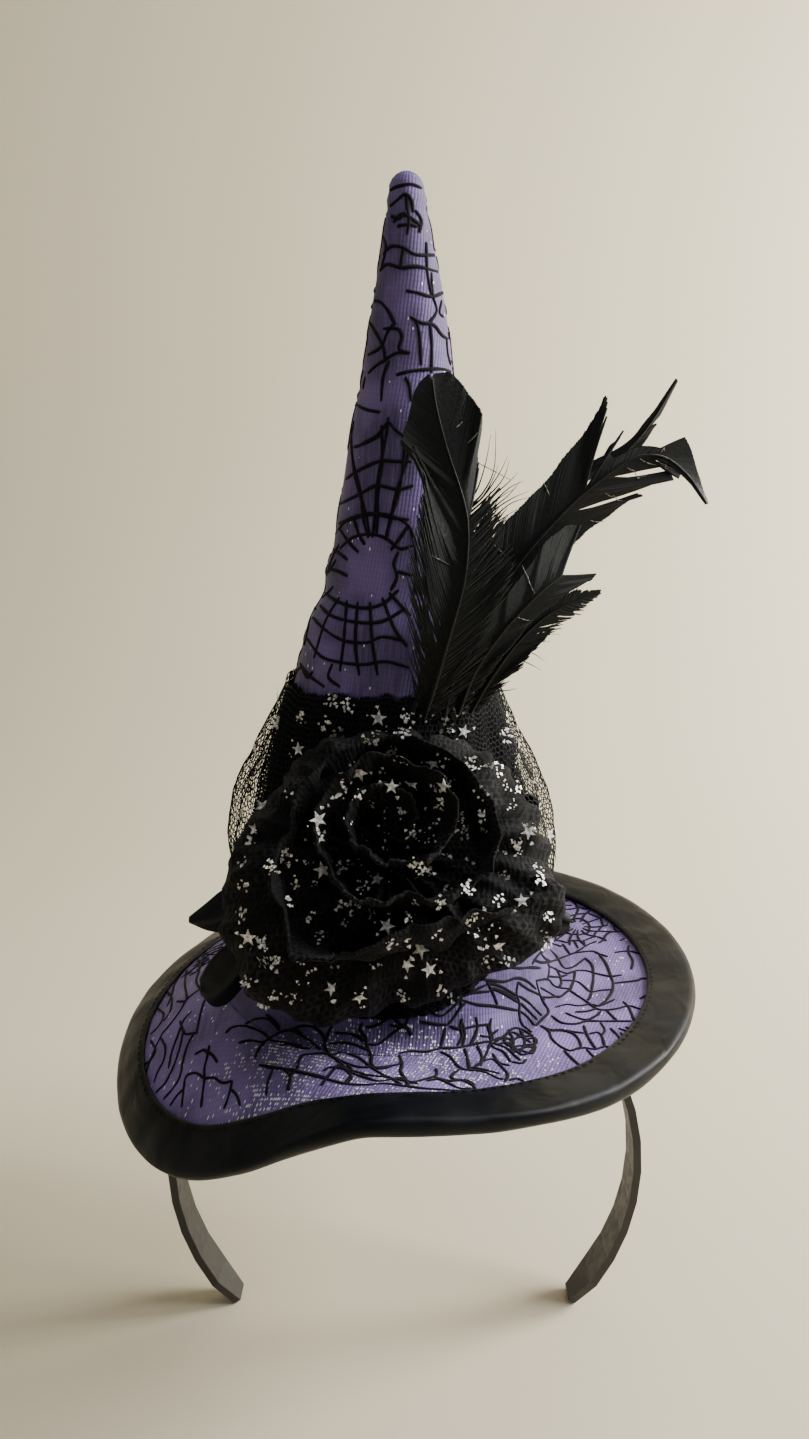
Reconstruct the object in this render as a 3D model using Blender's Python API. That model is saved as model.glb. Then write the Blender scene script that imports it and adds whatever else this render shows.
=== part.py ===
"""Witch hat headband: a small pointed hat with a net rosette and feathers, on a plain headband.

Lengths in the tables are millimetres, and add_object() turns them into metres. Heights are counted
from the plane where the crown meets the brim. The origin is the top of the headband's inside, +Z is
up, and the rosette faces -Y.
"""
import math
from collections import namedtuple

import bpy
import bmesh
from mathutils import Vector

for leftover in list(bpy.data.objects):
    bpy.data.objects.remove(leftover, do_unlink=True)

MM = 0.001
GAP = 0.3
FRONT = Vector((0.0, -1.0, 0.0))

# Headband
BAND_HALF_WIDTH = 73.0
BAND_HEIGHT = 75.0
BAND_WALL = 2.5
BAND_WIDTH = 12.0
BAND_END_ANGLE = 132.0
BAND_END_TAPER = 0.6
BAND_STEPS = 32

# Crown
CROWN_WALL = 2.0
CROWN_SIDES = 34
CROWN_TIP = 228.0
CROWN_INNER_TIP = CROWN_TIP - 3 * CROWN_WALL
TIP_DOME = 5.0
TIP_DOME_TURNS = (0.4, 0.75)
CrownSection = namedtuple("CrownSection", "height radius lean")
CROWN_SECTIONS = (
    CrownSection(0.0, 50.0, -2.0),
    CrownSection(4.0, 47.0, -2.2),
    CrownSection(12.0, 44.5, -2.7),
    CrownSection(30.0, 40.6, -3.5),
    CrownSection(60.0, 33.8, -4.1),
    CrownSection(90.0, 28.9, -3.5),
    CrownSection(108.0, 25.3, -2.4),
    CrownSection(122.0, 21.6, -0.7),
    CrownSection(137.0, 19.0, 0.0),
    CrownSection(162.0, 15.1, 0.3),
    CrownSection(175.0, 12.8, 0.9),
    CrownSection(198.0, 9.3, 1.1),
    CrownSection(212.0, 6.6, 0.7),
    CrownSection(222.5, 4.7, 0.5),
)
CROWN_ROWS = (0.0, 2.0, 5.0, 12.0, 24.0, 42.0, 60.0, 78.0, 94.0, 106.0, 116.0, 126.0, 140.0, 156.0,
              170.0, 184.0, 198.0, 210.0, 218.0, 223.0)
CROWN_INNER_ROWS = (0.0, 4.0, 12.0, 42.0, 78.0, 106.0, 126.0, 156.0, 184.0, 210.0)

# Brim: the height of its edge and how late it starts to droop, by angle from +X
BRIM_RADIUS = 86.0
BRIM_OPENING = 42.0
BRIM_FLAT = 50.0
BRIM_WALL = 2.0
BRIM_SIDES = 60
EdgePoint = namedtuple("EdgePoint", "angle height curl")
BRIM_EDGE = (
    EdgePoint(-166.0, -26.0, 1.9),
    EdgePoint(-148.0, -29.3, 2.1),
    EdgePoint(-132.0, -26.0, 2.2),
    EdgePoint(-118.0, -16.5, 2.6),
    EdgePoint(-105.0, -4.6, 2.4),
    EdgePoint(-95.0, 1.2, 1.8),
    EdgePoint(-75.0, 1.0, 1.5),
    EdgePoint(-50.0, -0.8, 1.5),
    EdgePoint(-20.0, 2.0, 1.4),
    EdgePoint(5.0, 4.4, 1.3),
    EdgePoint(40.0, 5.8, 1.2),
    EdgePoint(75.0, 4.0, 1.2),
    EdgePoint(110.0, -3.0, 1.2),
    EdgePoint(145.0, -13.3, 1.2),
    EdgePoint(170.0, -19.0, 1.3),
)
BRIM_STEPS = 5
PROFILE_STEPS = 48

# Satin binding: how far in it reaches, and its rounded fold at the edge
BINDING_REACH = 12.5
BINDING_CLOTH = 1.0
BINDING_SWELL = 0.2
BINDING_ROLL = 2.4
FOLD_SHOULDER = 0.7
FOLD_SHARE = 0.75

# Net gathered round the crown: how far it stands off the crown at the sides
NET_WALL = 1.0
NET_SIDES = 56
NET_GATHERS = 14
NET_CLEARANCE = 0.9
RUFFLE_IN_FRONT = 0.4
PuffSection = namedtuple("PuffSection", "height stand_off ruffle")
PUFF_SECTIONS = (
    PuffSection(9.0, 0.4, 0.1),
    PuffSection(16.0, 2.6, 0.3),
    PuffSection(26.0, 5.0, 0.5),
    PuffSection(37.0, 8.0, 0.7),
    PuffSection(48.0, 10.2, 0.8),
    PuffSection(59.0, 10.4, 0.9),
    PuffSection(70.0, 7.2, 0.9),
    PuffSection(80.0, 3.6, 0.8),
    PuffSection(90.0, 0.8, 0.3),
)
CUTTER_FOOT = -4.0
CUTTER_TOPS = (100.0, 116.0)

# Rosette: a strip of net wound in a spiral on a round backing
ROSE_HEIGHT = 48.5
ROSE_STAND = 41.0
ROSE_X = -3.0
ROSE_RAISE = math.radians(28.0)
ROSE_BACK_RADIUS = 36.0
ROSE_BACK_DEPTH = 14.0
ROSE_BACK_LIP = 1.5
ROSE_BACK_SIDES = 30
ROSE_WALL = 1.5
ROSE_END = math.radians(350.0)
ROSE_TURNS = 3.2
ROSE_STEPS = 76
RosePetal = namedtuple("RosePetal", "turn foot lip depth shift_u shift_v")
ROSE_PETALS = (
    RosePetal(0.0, 2.6, 3.6, 22.0, -4.0, 7.0),
    RosePetal(0.8, 7.6, 10.5, 24.0, -4.0, 7.0),
    RosePetal(1.6, 15.5, 20.0, 25.5, -2.5, 4.5),
    RosePetal(2.4, 24.5, 31.0, 26.0, -1.0, 2.0),
    RosePetal(3.2, 33.0, 41.5, 25.0, 0.0, 0.0),
)
ROSE_RUFFLE = 1.1
ROSE_WAVES = 5
ROSE_WAVE_DRIFT = 1.3
ROSE_LIP_WAVE = 0.8
ROSE_BELL = 0.55
ROSE_SINK = 0.6
ROSE_LEVELS = (0.0, 0.35, 0.72, 1.0)

# Satin bow behind the rosette: the middle of each ribbon, its width and how far it bulges
SATIN_WALL = 1.0
SATIN_STEPS = 4
BowSection = namedtuple("BowSection", "x y height width bulge")
SATIN_LOOP_LEFT = (
    BowSection(-38.9, -37.0, 35.0, 9.0, 1.0),
    BowSection(-43.0, -37.5, 35.5, 12.0, 2.0),
    BowSection(-48.0, -37.0, 34.5, 12.5, 2.4),
    BowSection(-53.0, -36.0, 32.5, 8.5, 1.6),
    BowSection(-58.5, -35.0, 31.0, 1.6, 0.3),
)
SATIN_TAIL_LEFT = (
    BowSection(-36.7, -43.5, 30.0, 7.0, 0.8),
    BowSection(-42.0, -42.5, 24.0, 14.0, 1.8),
    BowSection(-47.5, -40.5, 18.0, 17.0, 2.4),
    BowSection(-52.0, -39.0, 14.5, 14.0, 2.0),
    BowSection(-55.5, -38.0, 13.0, 5.0, 0.6),
)
SATIN_LOOP_RIGHT = (
    BowSection(33.4, -4.0, 50.5, 10.0, 0.4),
    BowSection(36.0, -5.0, 52.0, 12.0, 0.8),
    BowSection(38.0, -5.5, 53.5, 8.0, 0.6),
    BowSection(39.6, -5.5, 54.5, 2.0, 0.2),
)
SATIN_TAIL_RIGHT = (
    BowSection(31.8, -40.5, 33.5, 6.0, 0.6),
    BowSection(37.0, -40.0, 33.0, 8.5, 1.2),
    BowSection(41.0, -38.5, 32.0, 8.0, 1.0),
    BowSection(44.5, -37.0, 31.0, 4.5, 0.4),
)

# Feathers: quill points from foot to tip, how far each stands out in front of the foot, and the
# length of the barbs on either side. The foot is seated on the net.
FEATHER_WALL = 0.7
QUILL_RADIUS = 0.7
QUILL_TAPER = 0.6
BARB_ANGLE = math.radians(38.0)
BARB_SHORTEST = 0.5
VANE_CUP = 0.10
SLOPE_STEP = 0.01
SEAT_PASSES = 4
Barbs = namedtuple("Barbs", "along x height out left right")
FEATHER_UPRIGHT = (
    Barbs(0.00, 5.0, 86.0, 0.0, 0.6, 0.6),
    Barbs(0.10, 7.0, 95.0, 2.2, 9.0, 8.0),
    Barbs(0.24, 10.5, 109.0, 3.7, 14.0, 15.0),
    Barbs(0.38, 13.2, 122.0, 3.7, 16.0, 18.0),
    Barbs(0.50, 14.8, 133.0, 2.9, 17.0, 20.0),
    Barbs(0.58, 15.4, 140.0, 2.1, 17.0, 8.0),
    Barbs(0.68, 14.7, 148.0, 0.9, 16.0, 11.0),
    Barbs(0.80, 12.5, 156.5, -0.9, 14.0, 12.0),
    Barbs(0.92, 9.3, 165.0, -2.9, 7.0, 8.0),
    Barbs(1.00, 6.8, 172.0, -4.3, 0.8, 0.8),
)
FEATHER_LONG = (
    Barbs(0.00, 10.6, 86.0, 0.0, 0.6, 0.6),
    Barbs(0.12, 14.0, 101.0, -0.4, 9.0, 6.0),
    Barbs(0.26, 22.5, 116.0, -1.9, 15.0, 13.0),
    Barbs(0.38, 31.0, 128.0, -3.4, 13.0, 15.0),
    Barbs(0.50, 39.5, 137.5, -4.9, 15.0, 19.0),
    Barbs(0.58, 46.0, 144.0, -5.9, 20.0, 22.0),
    Barbs(0.64, 50.0, 147.5, -6.4, 6.0, 16.0),
    Barbs(0.76, 60.0, 153.5, -7.9, 3.5, 12.0),
    Barbs(0.86, 68.0, 153.5, -8.9, 2.5, 9.0),
    Barbs(0.94, 75.0, 148.5, -9.9, 1.6, 4.0),
    Barbs(1.00, 80.0, 142.0, -10.9, 0.6, 0.8),
)
FEATHER_CURLED = (
    Barbs(0.00, 2.0, 88.0, 0.0, 0.6, 0.6),
    Barbs(0.07, 4.3, 94.0, -1.4, 1.5, 1.5),
    Barbs(0.20, 12.5, 110.0, -8.0, 4.0, 4.0),
    Barbs(0.45, 30.0, 131.5, -11.0, 5.5, 4.5),
    Barbs(0.65, 45.0, 147.0, -12.5, 5.0, 4.5),
    Barbs(0.80, 58.5, 155.5, -14.0, 4.0, 4.0),
    Barbs(0.90, 65.0, 163.0, -15.0, 2.5, 2.4),
    Barbs(1.00, 71.0, 173.0, -16.0, 0.7, 0.7),
)
FEATHER_SQUARE = (
    Barbs(0.00, 14.2, 86.5, 0.0, 0.6, 0.6),
    Barbs(0.25, 18.5, 99.0, 4.7, 5.0, 4.0),
    Barbs(0.50, 25.5, 109.5, 5.2, 9.0, 7.0),
    Barbs(0.75, 32.5, 117.0, 4.2, 14.0, 9.0),
    Barbs(0.90, 37.0, 121.0, 3.2, 12.0, 8.0),
    Barbs(1.00, 40.5, 123.5, 2.2, 5.0, 3.5),
)
FEATHER_LOW = (
    Barbs(0.00, 17.6, 86.5, 0.0, 0.6, 0.6),
    Barbs(0.25, 22.5, 96.0, 3.4, 5.0, 6.0),
    Barbs(0.50, 29.5, 106.0, 3.9, 7.0, 9.0),
    Barbs(0.75, 38.5, 114.0, 2.9, 6.0, 7.0),
    Barbs(1.00, 51.0, 119.0, 0.9, 0.8, 0.8),
)


def foot_height():
    """Return the height of the crown's foot, with the brim's opening resting on the headband."""
    reach = math.sqrt(BRIM_OPENING ** 2 - (BAND_WIDTH / 2) ** 2)
    drop = 1.0 - math.sqrt(1.0 - (reach / (BAND_HALF_WIDTH + BAND_WALL)) ** 2)
    return BAND_WALL - (BAND_HEIGHT + BAND_WALL) * drop + BRIM_WALL / 2 + GAP


def row_at(rows, position):
    """Return the table row at a place in its first column, on a smooth curve through the rows."""
    last = len(rows) - 1
    position = min(max(position, rows[0][0]), rows[last][0])
    index = 0
    while index < last - 1 and position > rows[index + 1][0]:
        index += 1
    span = rows[index + 1][0] - rows[index][0]
    t = (position - rows[index][0]) / span
    values = [position]
    for column in range(1, len(rows[0])):
        slopes = []
        for knot in (index, index + 1):
            before = rows[max(knot - 1, 0)]
            after = rows[min(knot + 1, last)]
            slopes.append((after[column] - before[column]) / (after[0] - before[0]))
        start = rows[index][column]
        end = rows[index + 1][column]
        values.append((2 * t ** 3 - 3 * t ** 2 + 1) * start
                      + (t ** 3 - 2 * t ** 2 + t) * span * slopes[0]
                      + (3 * t ** 2 - 2 * t ** 3) * end
                      + (t ** 3 - t ** 2) * span * slopes[1])
    return type(rows[0])(*values)


def ring_rows(rows):
    """Return a table of angles with its rows repeated a turn before and a turn after."""
    turned = []
    for turn in (-360.0, 0.0, 360.0):
        turned += [row._replace(angle=row.angle + turn) for row in rows]
    return tuple(turned)


FOOT_Z = foot_height()
BRIM_ROUND = ring_rows(BRIM_EDGE)


def make_material(name, colour, roughness, sheen=0.0):
    """Return a cloth-like material with its own base colour and roughness."""
    material = bpy.data.materials.new(name)
    material.use_nodes = True
    shader = material.node_tree.nodes["Principled BSDF"]
    shader.inputs["Base Color"].default_value = (*colour, 1.0)
    shader.inputs["Roughness"].default_value = roughness
    shader.inputs["Metallic"].default_value = 0.0
    shader.inputs["Sheen Weight"].default_value = sheen
    material.diffuse_color = (*colour, 1.0)
    return material


def add_object(name, points, faces, material, smooth_angle=50.0):
    """Add a mesh object from points in millimetres, with its faces turned outwards."""
    mesh = bpy.data.meshes.new(name)
    mesh.from_pydata([Vector(p) * MM for p in points], [], faces)
    work = bmesh.new()
    work.from_mesh(mesh)
    bmesh.ops.triangulate(work, faces=[f for f in work.faces if len(f.verts) > 4])
    bmesh.ops.recalc_face_normals(work, faces=work.faces)
    if work.calc_volume(signed=True) < 0.0:
        bmesh.ops.reverse_faces(work, faces=work.faces)
    work.to_mesh(mesh)
    work.free()
    mesh.materials.append(material)
    mesh.shade_smooth()
    mesh.set_sharp_from_angle(angle=math.radians(smooth_angle))
    item = bpy.data.objects.new(name, mesh)
    bpy.context.collection.objects.link(item)
    return item


def split(a, b, c, d):
    """Return the two triangles of a four-cornered face, cut from its first to its third corner."""
    return [(a, b, c), (a, c, d)]


def plate(rows, thickness, closed=False):
    """Return points and faces of a wall of even thickness about a grid of middle points.

    With closed=True, the last column joins the first, as round a hat.
    """
    count = len(rows)
    width = len(rows[0])
    points = []
    for side in (0.5, -0.5):
        for i in range(count):
            for j in range(width):
                up = rows[min(i + 1, count - 1)][j] - rows[max(i - 1, 0)][j]
                if closed:
                    across = rows[i][(j + 1) % width] - rows[i][j - 1]
                else:
                    across = rows[i][min(j + 1, width - 1)] - rows[i][max(j - 1, 0)]
                points.append(rows[i][j] + up.cross(across).normalized() * thickness * side)
    back = count * width
    faces = []
    last = width if closed else width - 1
    for i in range(count - 1):
        for j in range(last):
            a = i * width + j
            b = i * width + (j + 1) % width
            faces += split(a, b, b + width, a + width)
            faces += split(back + a, back + a + width, back + b + width, back + b)
    for j in range(last):
        a = j
        b = (j + 1) % width
        faces += split(a, back + a, back + b, b)
        top = (count - 1) * width
        faces += split(top + b, back + top + b, back + top + a, top + a)
    if not closed:
        for i in range(count - 1):
            a = i * width
            faces += split(a, a + width, back + a + width, back + a)
            b = a + width - 1
            faces += split(b, back + b, back + b + width, b + width)
    return points, faces


def skin(sections, closed):
    """Return points and faces of a solid through closed sections with equal counts of points."""
    size = len(sections[0])
    count = len(sections)
    points = [point for section in sections for point in section]
    faces = []
    for i in range(count if closed else count - 1):
        for j in range(size):
            a = i * size + j
            b = i * size + (j + 1) % size
            c = ((i + 1) % count) * size + (j + 1) % size
            d = ((i + 1) % count) * size + j
            faces += split(a, b, c, d)
    if not closed:
        faces.append(tuple(range(size - 1, -1, -1)))
        faces.append(tuple((count - 1) * size + j for j in range(size)))
    return points, faces


def combine(target, other, operation):
    """Apply a Boolean to the target with the other object, and remove the other object."""
    change = target.modifiers.new(operation.title(), "BOOLEAN")
    change.operation = operation
    change.object = other
    change.solver = "EXACT"
    change.use_self = True
    bpy.context.view_layer.update()
    evaluated = target.evaluated_get(bpy.context.evaluated_depsgraph_get())
    mesh = bpy.data.meshes.new_from_object(evaluated)
    target.modifiers.clear()
    target.data = mesh
    bpy.data.objects.remove(other, do_unlink=True)


def crown_radius(height):
    """Return the crown's outer radius at a height above its foot."""
    return row_at(CROWN_SECTIONS, height).radius


def crown_point(height, radius, angle):
    """Return a point round the crown's leaning axis."""
    lean = row_at(CROWN_SECTIONS, height).lean
    return Vector((lean + radius * math.cos(angle), radius * math.sin(angle), FOOT_Z + height))


def make_crown(material):
    """Make the hollow crown: an outer skin with a domed tip, a foot and an inner skin."""
    angles = [2 * math.pi * k / CROWN_SIDES for k in range(CROWN_SIDES)]
    lift = BRIM_WALL / 2 + GAP
    outer = [(h + lift * (h == 0.0), crown_radius(h)) for h in CROWN_ROWS]
    top = CROWN_ROWS[-1]
    for part in TIP_DOME_TURNS:
        turn = part * math.pi / 2
        outer.append((top + TIP_DOME * math.sin(turn), crown_radius(top) * math.cos(turn)))
    inner = [(h + lift * (h == 0.0), crown_radius(h) - CROWN_WALL) for h in CROWN_INNER_ROWS]
    points = [crown_point(h, r, a) for h, r in outer + inner for a in angles]
    faces = []

    def ring_faces(first, second):
        for k in range(CROWN_SIDES):
            n = (k + 1) % CROWN_SIDES
            faces.extend(split(first + k, first + n, second + n, second + k))

    start_inner = len(outer) * CROWN_SIDES
    for i in range(len(outer) - 1):
        ring_faces(i * CROWN_SIDES, (i + 1) * CROWN_SIDES)
    for i in range(len(inner) - 1):
        ring_faces(start_inner + (i + 1) * CROWN_SIDES, start_inner + i * CROWN_SIDES)
    ring_faces(start_inner, 0)
    for rows, first, height in ((outer, 0, CROWN_TIP), (inner, start_inner, CROWN_INNER_TIP)):
        pole = len(points)
        points.append(crown_point(height, 0.0, 0.0))
        ring = first + (len(rows) - 1) * CROWN_SIDES
        for k in range(CROWN_SIDES):
            faces.append((ring + k, ring + (k + 1) % CROWN_SIDES, pole))
    return add_object("crown", points, faces, material)


def brim_profile(angle):
    """Return the brim's middle line at an angle as (radius, height) points from the crown outwards."""
    edge = row_at(BRIM_ROUND, math.degrees(angle))
    line = []
    for k in range(PROFILE_STEPS + 1):
        radius = BRIM_OPENING + (BRIM_RADIUS - BRIM_OPENING) * k / PROFILE_STEPS
        part = max(radius - BRIM_FLAT, 0.0) / (BRIM_RADIUS - BRIM_FLAT)
        line.append(Vector((radius, edge.height * part ** edge.curl)))
    return line


def brim_point(angle, inward, offset):
    """Return a point at a distance in from the brim's edge, and an offset up from its middle."""
    line = brim_profile(angle)[::-1]
    left = inward
    if left <= 0.0:
        along = (line[0] - line[1]).normalized()
        place = line[0] - along * left
    else:
        for near, far in zip(line, line[1:]):
            length = (far - near).length
            if left <= length or far is line[-1]:
                break
            left -= length
        along = (near - far).normalized()
        place = near - along * left
    radius = place.x - along.y * offset
    height = place.y + along.x * offset
    return Vector((radius * math.cos(angle), radius * math.sin(angle), FOOT_Z + height))


def brim_length(angle):
    """Return the length of the brim's middle line from its opening to its edge."""
    line = brim_profile(angle)
    return sum((b - a).length for a, b in zip(line, line[1:]))


def make_brim(material):
    """Make the brim: a ring that follows the wavy edge."""
    sections = []
    for turn in range(BRIM_SIDES):
        angle = 2 * math.pi * turn / BRIM_SIDES
        rest = brim_length(angle) - BINDING_REACH
        depths = [BINDING_REACH + rest * (1.0 - k / BRIM_STEPS) for k in range(BRIM_STEPS + 1)]
        depths += [BINDING_REACH / 2, BINDING_ROLL / 2]
        upper = [brim_point(angle, d, BRIM_WALL / 2) for d in depths]
        lower = [brim_point(angle, d, -BRIM_WALL / 2) for d in depths]
        sections.append(upper[::-1] + lower)
    return add_object("brim", *skin(sections, True), material)


def make_binding(material):
    """Make the satin folded round the brim's edge, a U whose fold is rounded."""
    inside = BRIM_WALL / 2 + GAP
    outside = inside + BINDING_CLOTH
    shoulder = outside * FOLD_SHARE
    middle = BINDING_REACH / 2
    end = BINDING_ROLL / 2 - GAP
    sections = []
    for k in range(BRIM_SIDES):
        angle = 2 * math.pi * k / BRIM_SIDES
        outline = (
            (BINDING_REACH, outside), (middle, outside + BINDING_SWELL), (end, outside),
            (-FOLD_SHOULDER, shoulder), (-BINDING_ROLL / 2, 0.0), (-FOLD_SHOULDER, -shoulder),
            (end, -outside), (middle, -outside - BINDING_SWELL), (BINDING_REACH, -outside),
            (BINDING_REACH, -inside), (middle, -inside), (end, -inside),
            (end, inside), (middle, inside), (BINDING_REACH, inside),
        )
        sections.append([brim_point(angle, depth, offset) for depth, offset in outline])
    return add_object("brim_binding", *skin(sections, True), material)


def make_headband(material):
    """Make the plain band that goes over the head from side to side."""
    rows = []
    for k in range(BAND_STEPS + 1):
        turn = math.radians(BAND_END_ANGLE) * (2.0 * k / BAND_STEPS - 1.0)
        half = BAND_WIDTH / 2 * (BAND_END_TAPER if k in (0, BAND_STEPS) else 1.0)
        x = (BAND_HALF_WIDTH + BAND_WALL / 2) * math.sin(turn)
        z = (BAND_HEIGHT + BAND_WALL / 2) * math.cos(turn) - BAND_HEIGHT
        rows.append([Vector((x, -half, z)), Vector((x, half, z))])
    return add_object("headband", *plate(rows, BAND_WALL), material)


def puff_radius(height, angle):
    """Return the radius of the net's middle, which stands off the crown at its two sides."""
    section = row_at(PUFF_SECTIONS, height)
    side = math.cos(angle) ** 2
    share = RUFFLE_IN_FRONT + (1.0 - RUFFLE_IN_FRONT) * side
    ruffle = section.ruffle * math.cos(NET_GATHERS * angle) * share
    return crown_radius(height) + NET_CLEARANCE + NET_WALL / 2 + section.stand_off * side + ruffle


def make_net_band(material):
    """Make the gathered net round the crown."""
    rows = []
    for section in PUFF_SECTIONS:
        row = []
        for k in range(NET_SIDES):
            angle = 2 * math.pi * k / NET_SIDES
            row.append(crown_point(section.height, puff_radius(section.height, angle), angle))
        rows.append(row)
    return add_object("net_band", *plate(rows, NET_WALL, closed=True), material)


def net_cutter():
    """Return a solid just larger than the crown with its net, to cut what sits on it."""
    foot = PUFF_SECTIONS[0].height
    hem = PUFF_SECTIONS[-1].height
    heights = [CUTTER_FOOT, *[section.height for section in PUFF_SECTIONS], *CUTTER_TOPS]
    sections = []
    for height in heights:
        near = min(max(height, foot), hem)
        above = crown_radius(height) - crown_radius(hem) if height > hem else 0.0
        section = []
        for k in range(NET_SIDES):
            angle = 2 * math.pi * k / NET_SIDES
            radius = puff_radius(near, angle) + NET_WALL / 2 + GAP * 2 + above
            section.append(crown_point(height, radius, angle))
        sections.append(section)
    cutter = add_object("net_cutter", *skin(sections, False), bpy.data.materials["net"])
    cutter.hide_render = True
    cutter.display_type = "WIRE"
    return cutter


def rose_point(u, v, out):
    """Return a point of the rosette: u to the right, v up along its back, out along its axis."""
    axis = Vector((0.0, -math.cos(ROSE_RAISE), math.sin(ROSE_RAISE)))
    rise = Vector((0.0, math.sin(ROSE_RAISE), math.cos(ROSE_RAISE)))
    centre = Vector((ROSE_X, -ROSE_STAND, FOOT_Z + ROSE_HEIGHT))
    return centre + Vector((u, 0.0, 0.0)) + rise * v + axis * out


def make_rose(material):
    """Make the rosette: a spiral strip of net on a round backing, cut to sit on the net band."""
    rows = []
    for k in range(ROSE_STEPS + 1):
        turn = ROSE_TURNS * k / ROSE_STEPS
        petal = row_at(ROSE_PETALS, turn)
        angle = ROSE_END - (ROSE_TURNS - turn) * 2 * math.pi
        wave = ROSE_RUFFLE * min(1.0, turn) * math.sin(ROSE_WAVES * angle + ROSE_WAVE_DRIFT * turn)
        row = []
        for level in ROSE_LEVELS:
            bell = ROSE_BELL * level + (1.0 - ROSE_BELL) * level ** 3
            radius = petal.foot + (petal.lip - petal.foot) * bell + wave * level ** 2
            u = petal.shift_u + radius * math.cos(angle)
            v = petal.shift_v + radius * math.sin(angle)
            out = (petal.depth + ROSE_LIP_WAVE * wave) * level - ROSE_SINK
            row.append(rose_point(u, v, out))
        rows.append(row)
    rose = add_object("net_rose", *plate(rows, ROSE_WALL), material)
    sections = []
    for out in (-ROSE_BACK_DEPTH, ROSE_BACK_LIP):
        section = []
        for k in range(ROSE_BACK_SIDES):
            angle = 2 * math.pi * k / ROSE_BACK_SIDES
            u = ROSE_BACK_RADIUS * math.cos(angle)
            section.append(rose_point(u, ROSE_BACK_RADIUS * math.sin(angle), out))
        sections.append(section)
    backing = add_object("rose_backing", *skin(sections, False), material)
    combine(rose, backing, "UNION")
    combine(rose, net_cutter(), "DIFFERENCE")
    return rose


def make_bow_piece(name, rows_table, material):
    """Make one satin loop or tail: a bulged ribbon whose width changes along it."""
    rows = []
    for section in rows_table:
        row = []
        for step in range(SATIN_STEPS + 1):
            across = step / SATIN_STEPS - 0.5
            bulge = section.bulge * (1.0 - (2.0 * across) ** 2)
            height = FOOT_Z + section.height + section.width * across
            row.append(Vector((section.x, section.y - bulge, height)))
        rows.append(row)
    return add_object(name, *plate(rows, SATIN_WALL), material)


def seat_on_net(x, height, clear):
    """Return the Y of a point in front of the net, clear of its outside by a distance."""
    across = x - row_at(CROWN_SECTIONS, height).lean
    angle = -math.pi / 2
    for _ in range(SEAT_PASSES):
        radius = puff_radius(height, angle) + NET_WALL / 2 + clear
        angle = -math.acos(across / radius)
    return radius * math.sin(angle)


def feather_section(quill, along, row, rib):
    """Return the six-point section of a feather: its two barb tips and the quill between them."""
    side = along.cross(FRONT).normalized()
    if side.x < 0.0:
        side.negate()
    face = side.cross(along).normalized()
    if face.y > 0.0:
        face.negate()
    tips = []
    for sign, length in ((-1.0, row.left), (1.0, row.right)):
        reach = side * sign * math.sin(BARB_ANGLE) + along * math.cos(BARB_ANGLE) - face * VANE_CUP
        tips.append(quill + reach * max(length, BARB_SHORTEST))
    thin = face * FEATHER_WALL / 2
    return [tips[0] + thin, quill + face * rib, tips[1] + thin,
            tips[1] - thin, quill - face * rib, tips[0] - thin]


def make_feather(name, stations, steps, material):
    """Make one feather: a flat vane of barbs fused to its quill."""
    foot = stations[0]
    foot_y = seat_on_net(foot.x, foot.height, GAP + QUILL_RADIUS)
    sections = []
    for k in range(steps + 1):
        part = k / steps
        row = row_at(stations, part)
        before = row_at(stations, max(part - SLOPE_STEP, 0.0))
        after = row_at(stations, min(part + SLOPE_STEP, 1.0))
        quill = Vector((row.x, foot_y - row.out, FOOT_Z + row.height))
        along = Vector((after.x - before.x, before.out - after.out, after.height - before.height))
        rib = QUILL_RADIUS * (1.0 - QUILL_TAPER * part)
        sections.append(feather_section(quill, along.normalized(), row, rib))
    return add_object(name, *skin(sections, False), material)


purple = make_material("purple_cloth", (0.13, 0.085, 0.25), 0.75, sheen=0.3)
brim_purple = make_material("brim_cloth", (0.14, 0.09, 0.27), 0.7, sheen=0.3)
binding_satin = make_material("binding_satin", (0.010, 0.010, 0.012), 0.35)
net = make_material("net", (0.008, 0.008, 0.010), 0.8)
rose_net = make_material("rose_net", (0.006, 0.006, 0.007), 0.85)
bow_satin = make_material("bow_satin", (0.010, 0.011, 0.012), 0.3)
feather_black = make_material("feather_black", (0.008, 0.009, 0.012), 0.45)
band_black = make_material("band_black", (0.012, 0.012, 0.013), 0.6)

make_headband(band_black)
make_brim(brim_purple)
make_binding(binding_satin)
make_crown(purple)
make_net_band(net)
make_rose(rose_net)
make_bow_piece("satin_loop_left", SATIN_LOOP_LEFT, bow_satin)
make_bow_piece("satin_tail_left", SATIN_TAIL_LEFT, bow_satin)
make_bow_piece("satin_loop_right", SATIN_LOOP_RIGHT, bow_satin)
make_bow_piece("satin_tail_right", SATIN_TAIL_RIGHT, bow_satin)
make_feather("feather_upright", FEATHER_UPRIGHT, 20, feather_black)
make_feather("feather_long", FEATHER_LONG, 24, feather_black)
make_feather("feather_curled", FEATHER_CURLED, 14, feather_black)
make_feather("feather_square", FEATHER_SQUARE, 10, feather_black)
make_feather("feather_low", FEATHER_LOW, 10, feather_black)
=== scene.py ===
"""Looks of a witch hat headband: a small pointed purple hat with raised black webs, a wide satin
binding, gathered net with foil stars, a net rosette, a satin bow and black feathers.

Sizes are millimetres in tables and dataclass fields, and Cloth.make() turns them into metres.
Heights are counted from the plane where the crown meets the brim. The rosette faces -Y.
"""
import functools
import logging
import math
import random
from dataclasses import dataclass, field
from enum import Enum
from typing import Callable, Iterator, Sequence

import bmesh
import bpy
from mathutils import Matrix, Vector, noise
from mathutils.bvhtree import BVHTree

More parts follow.
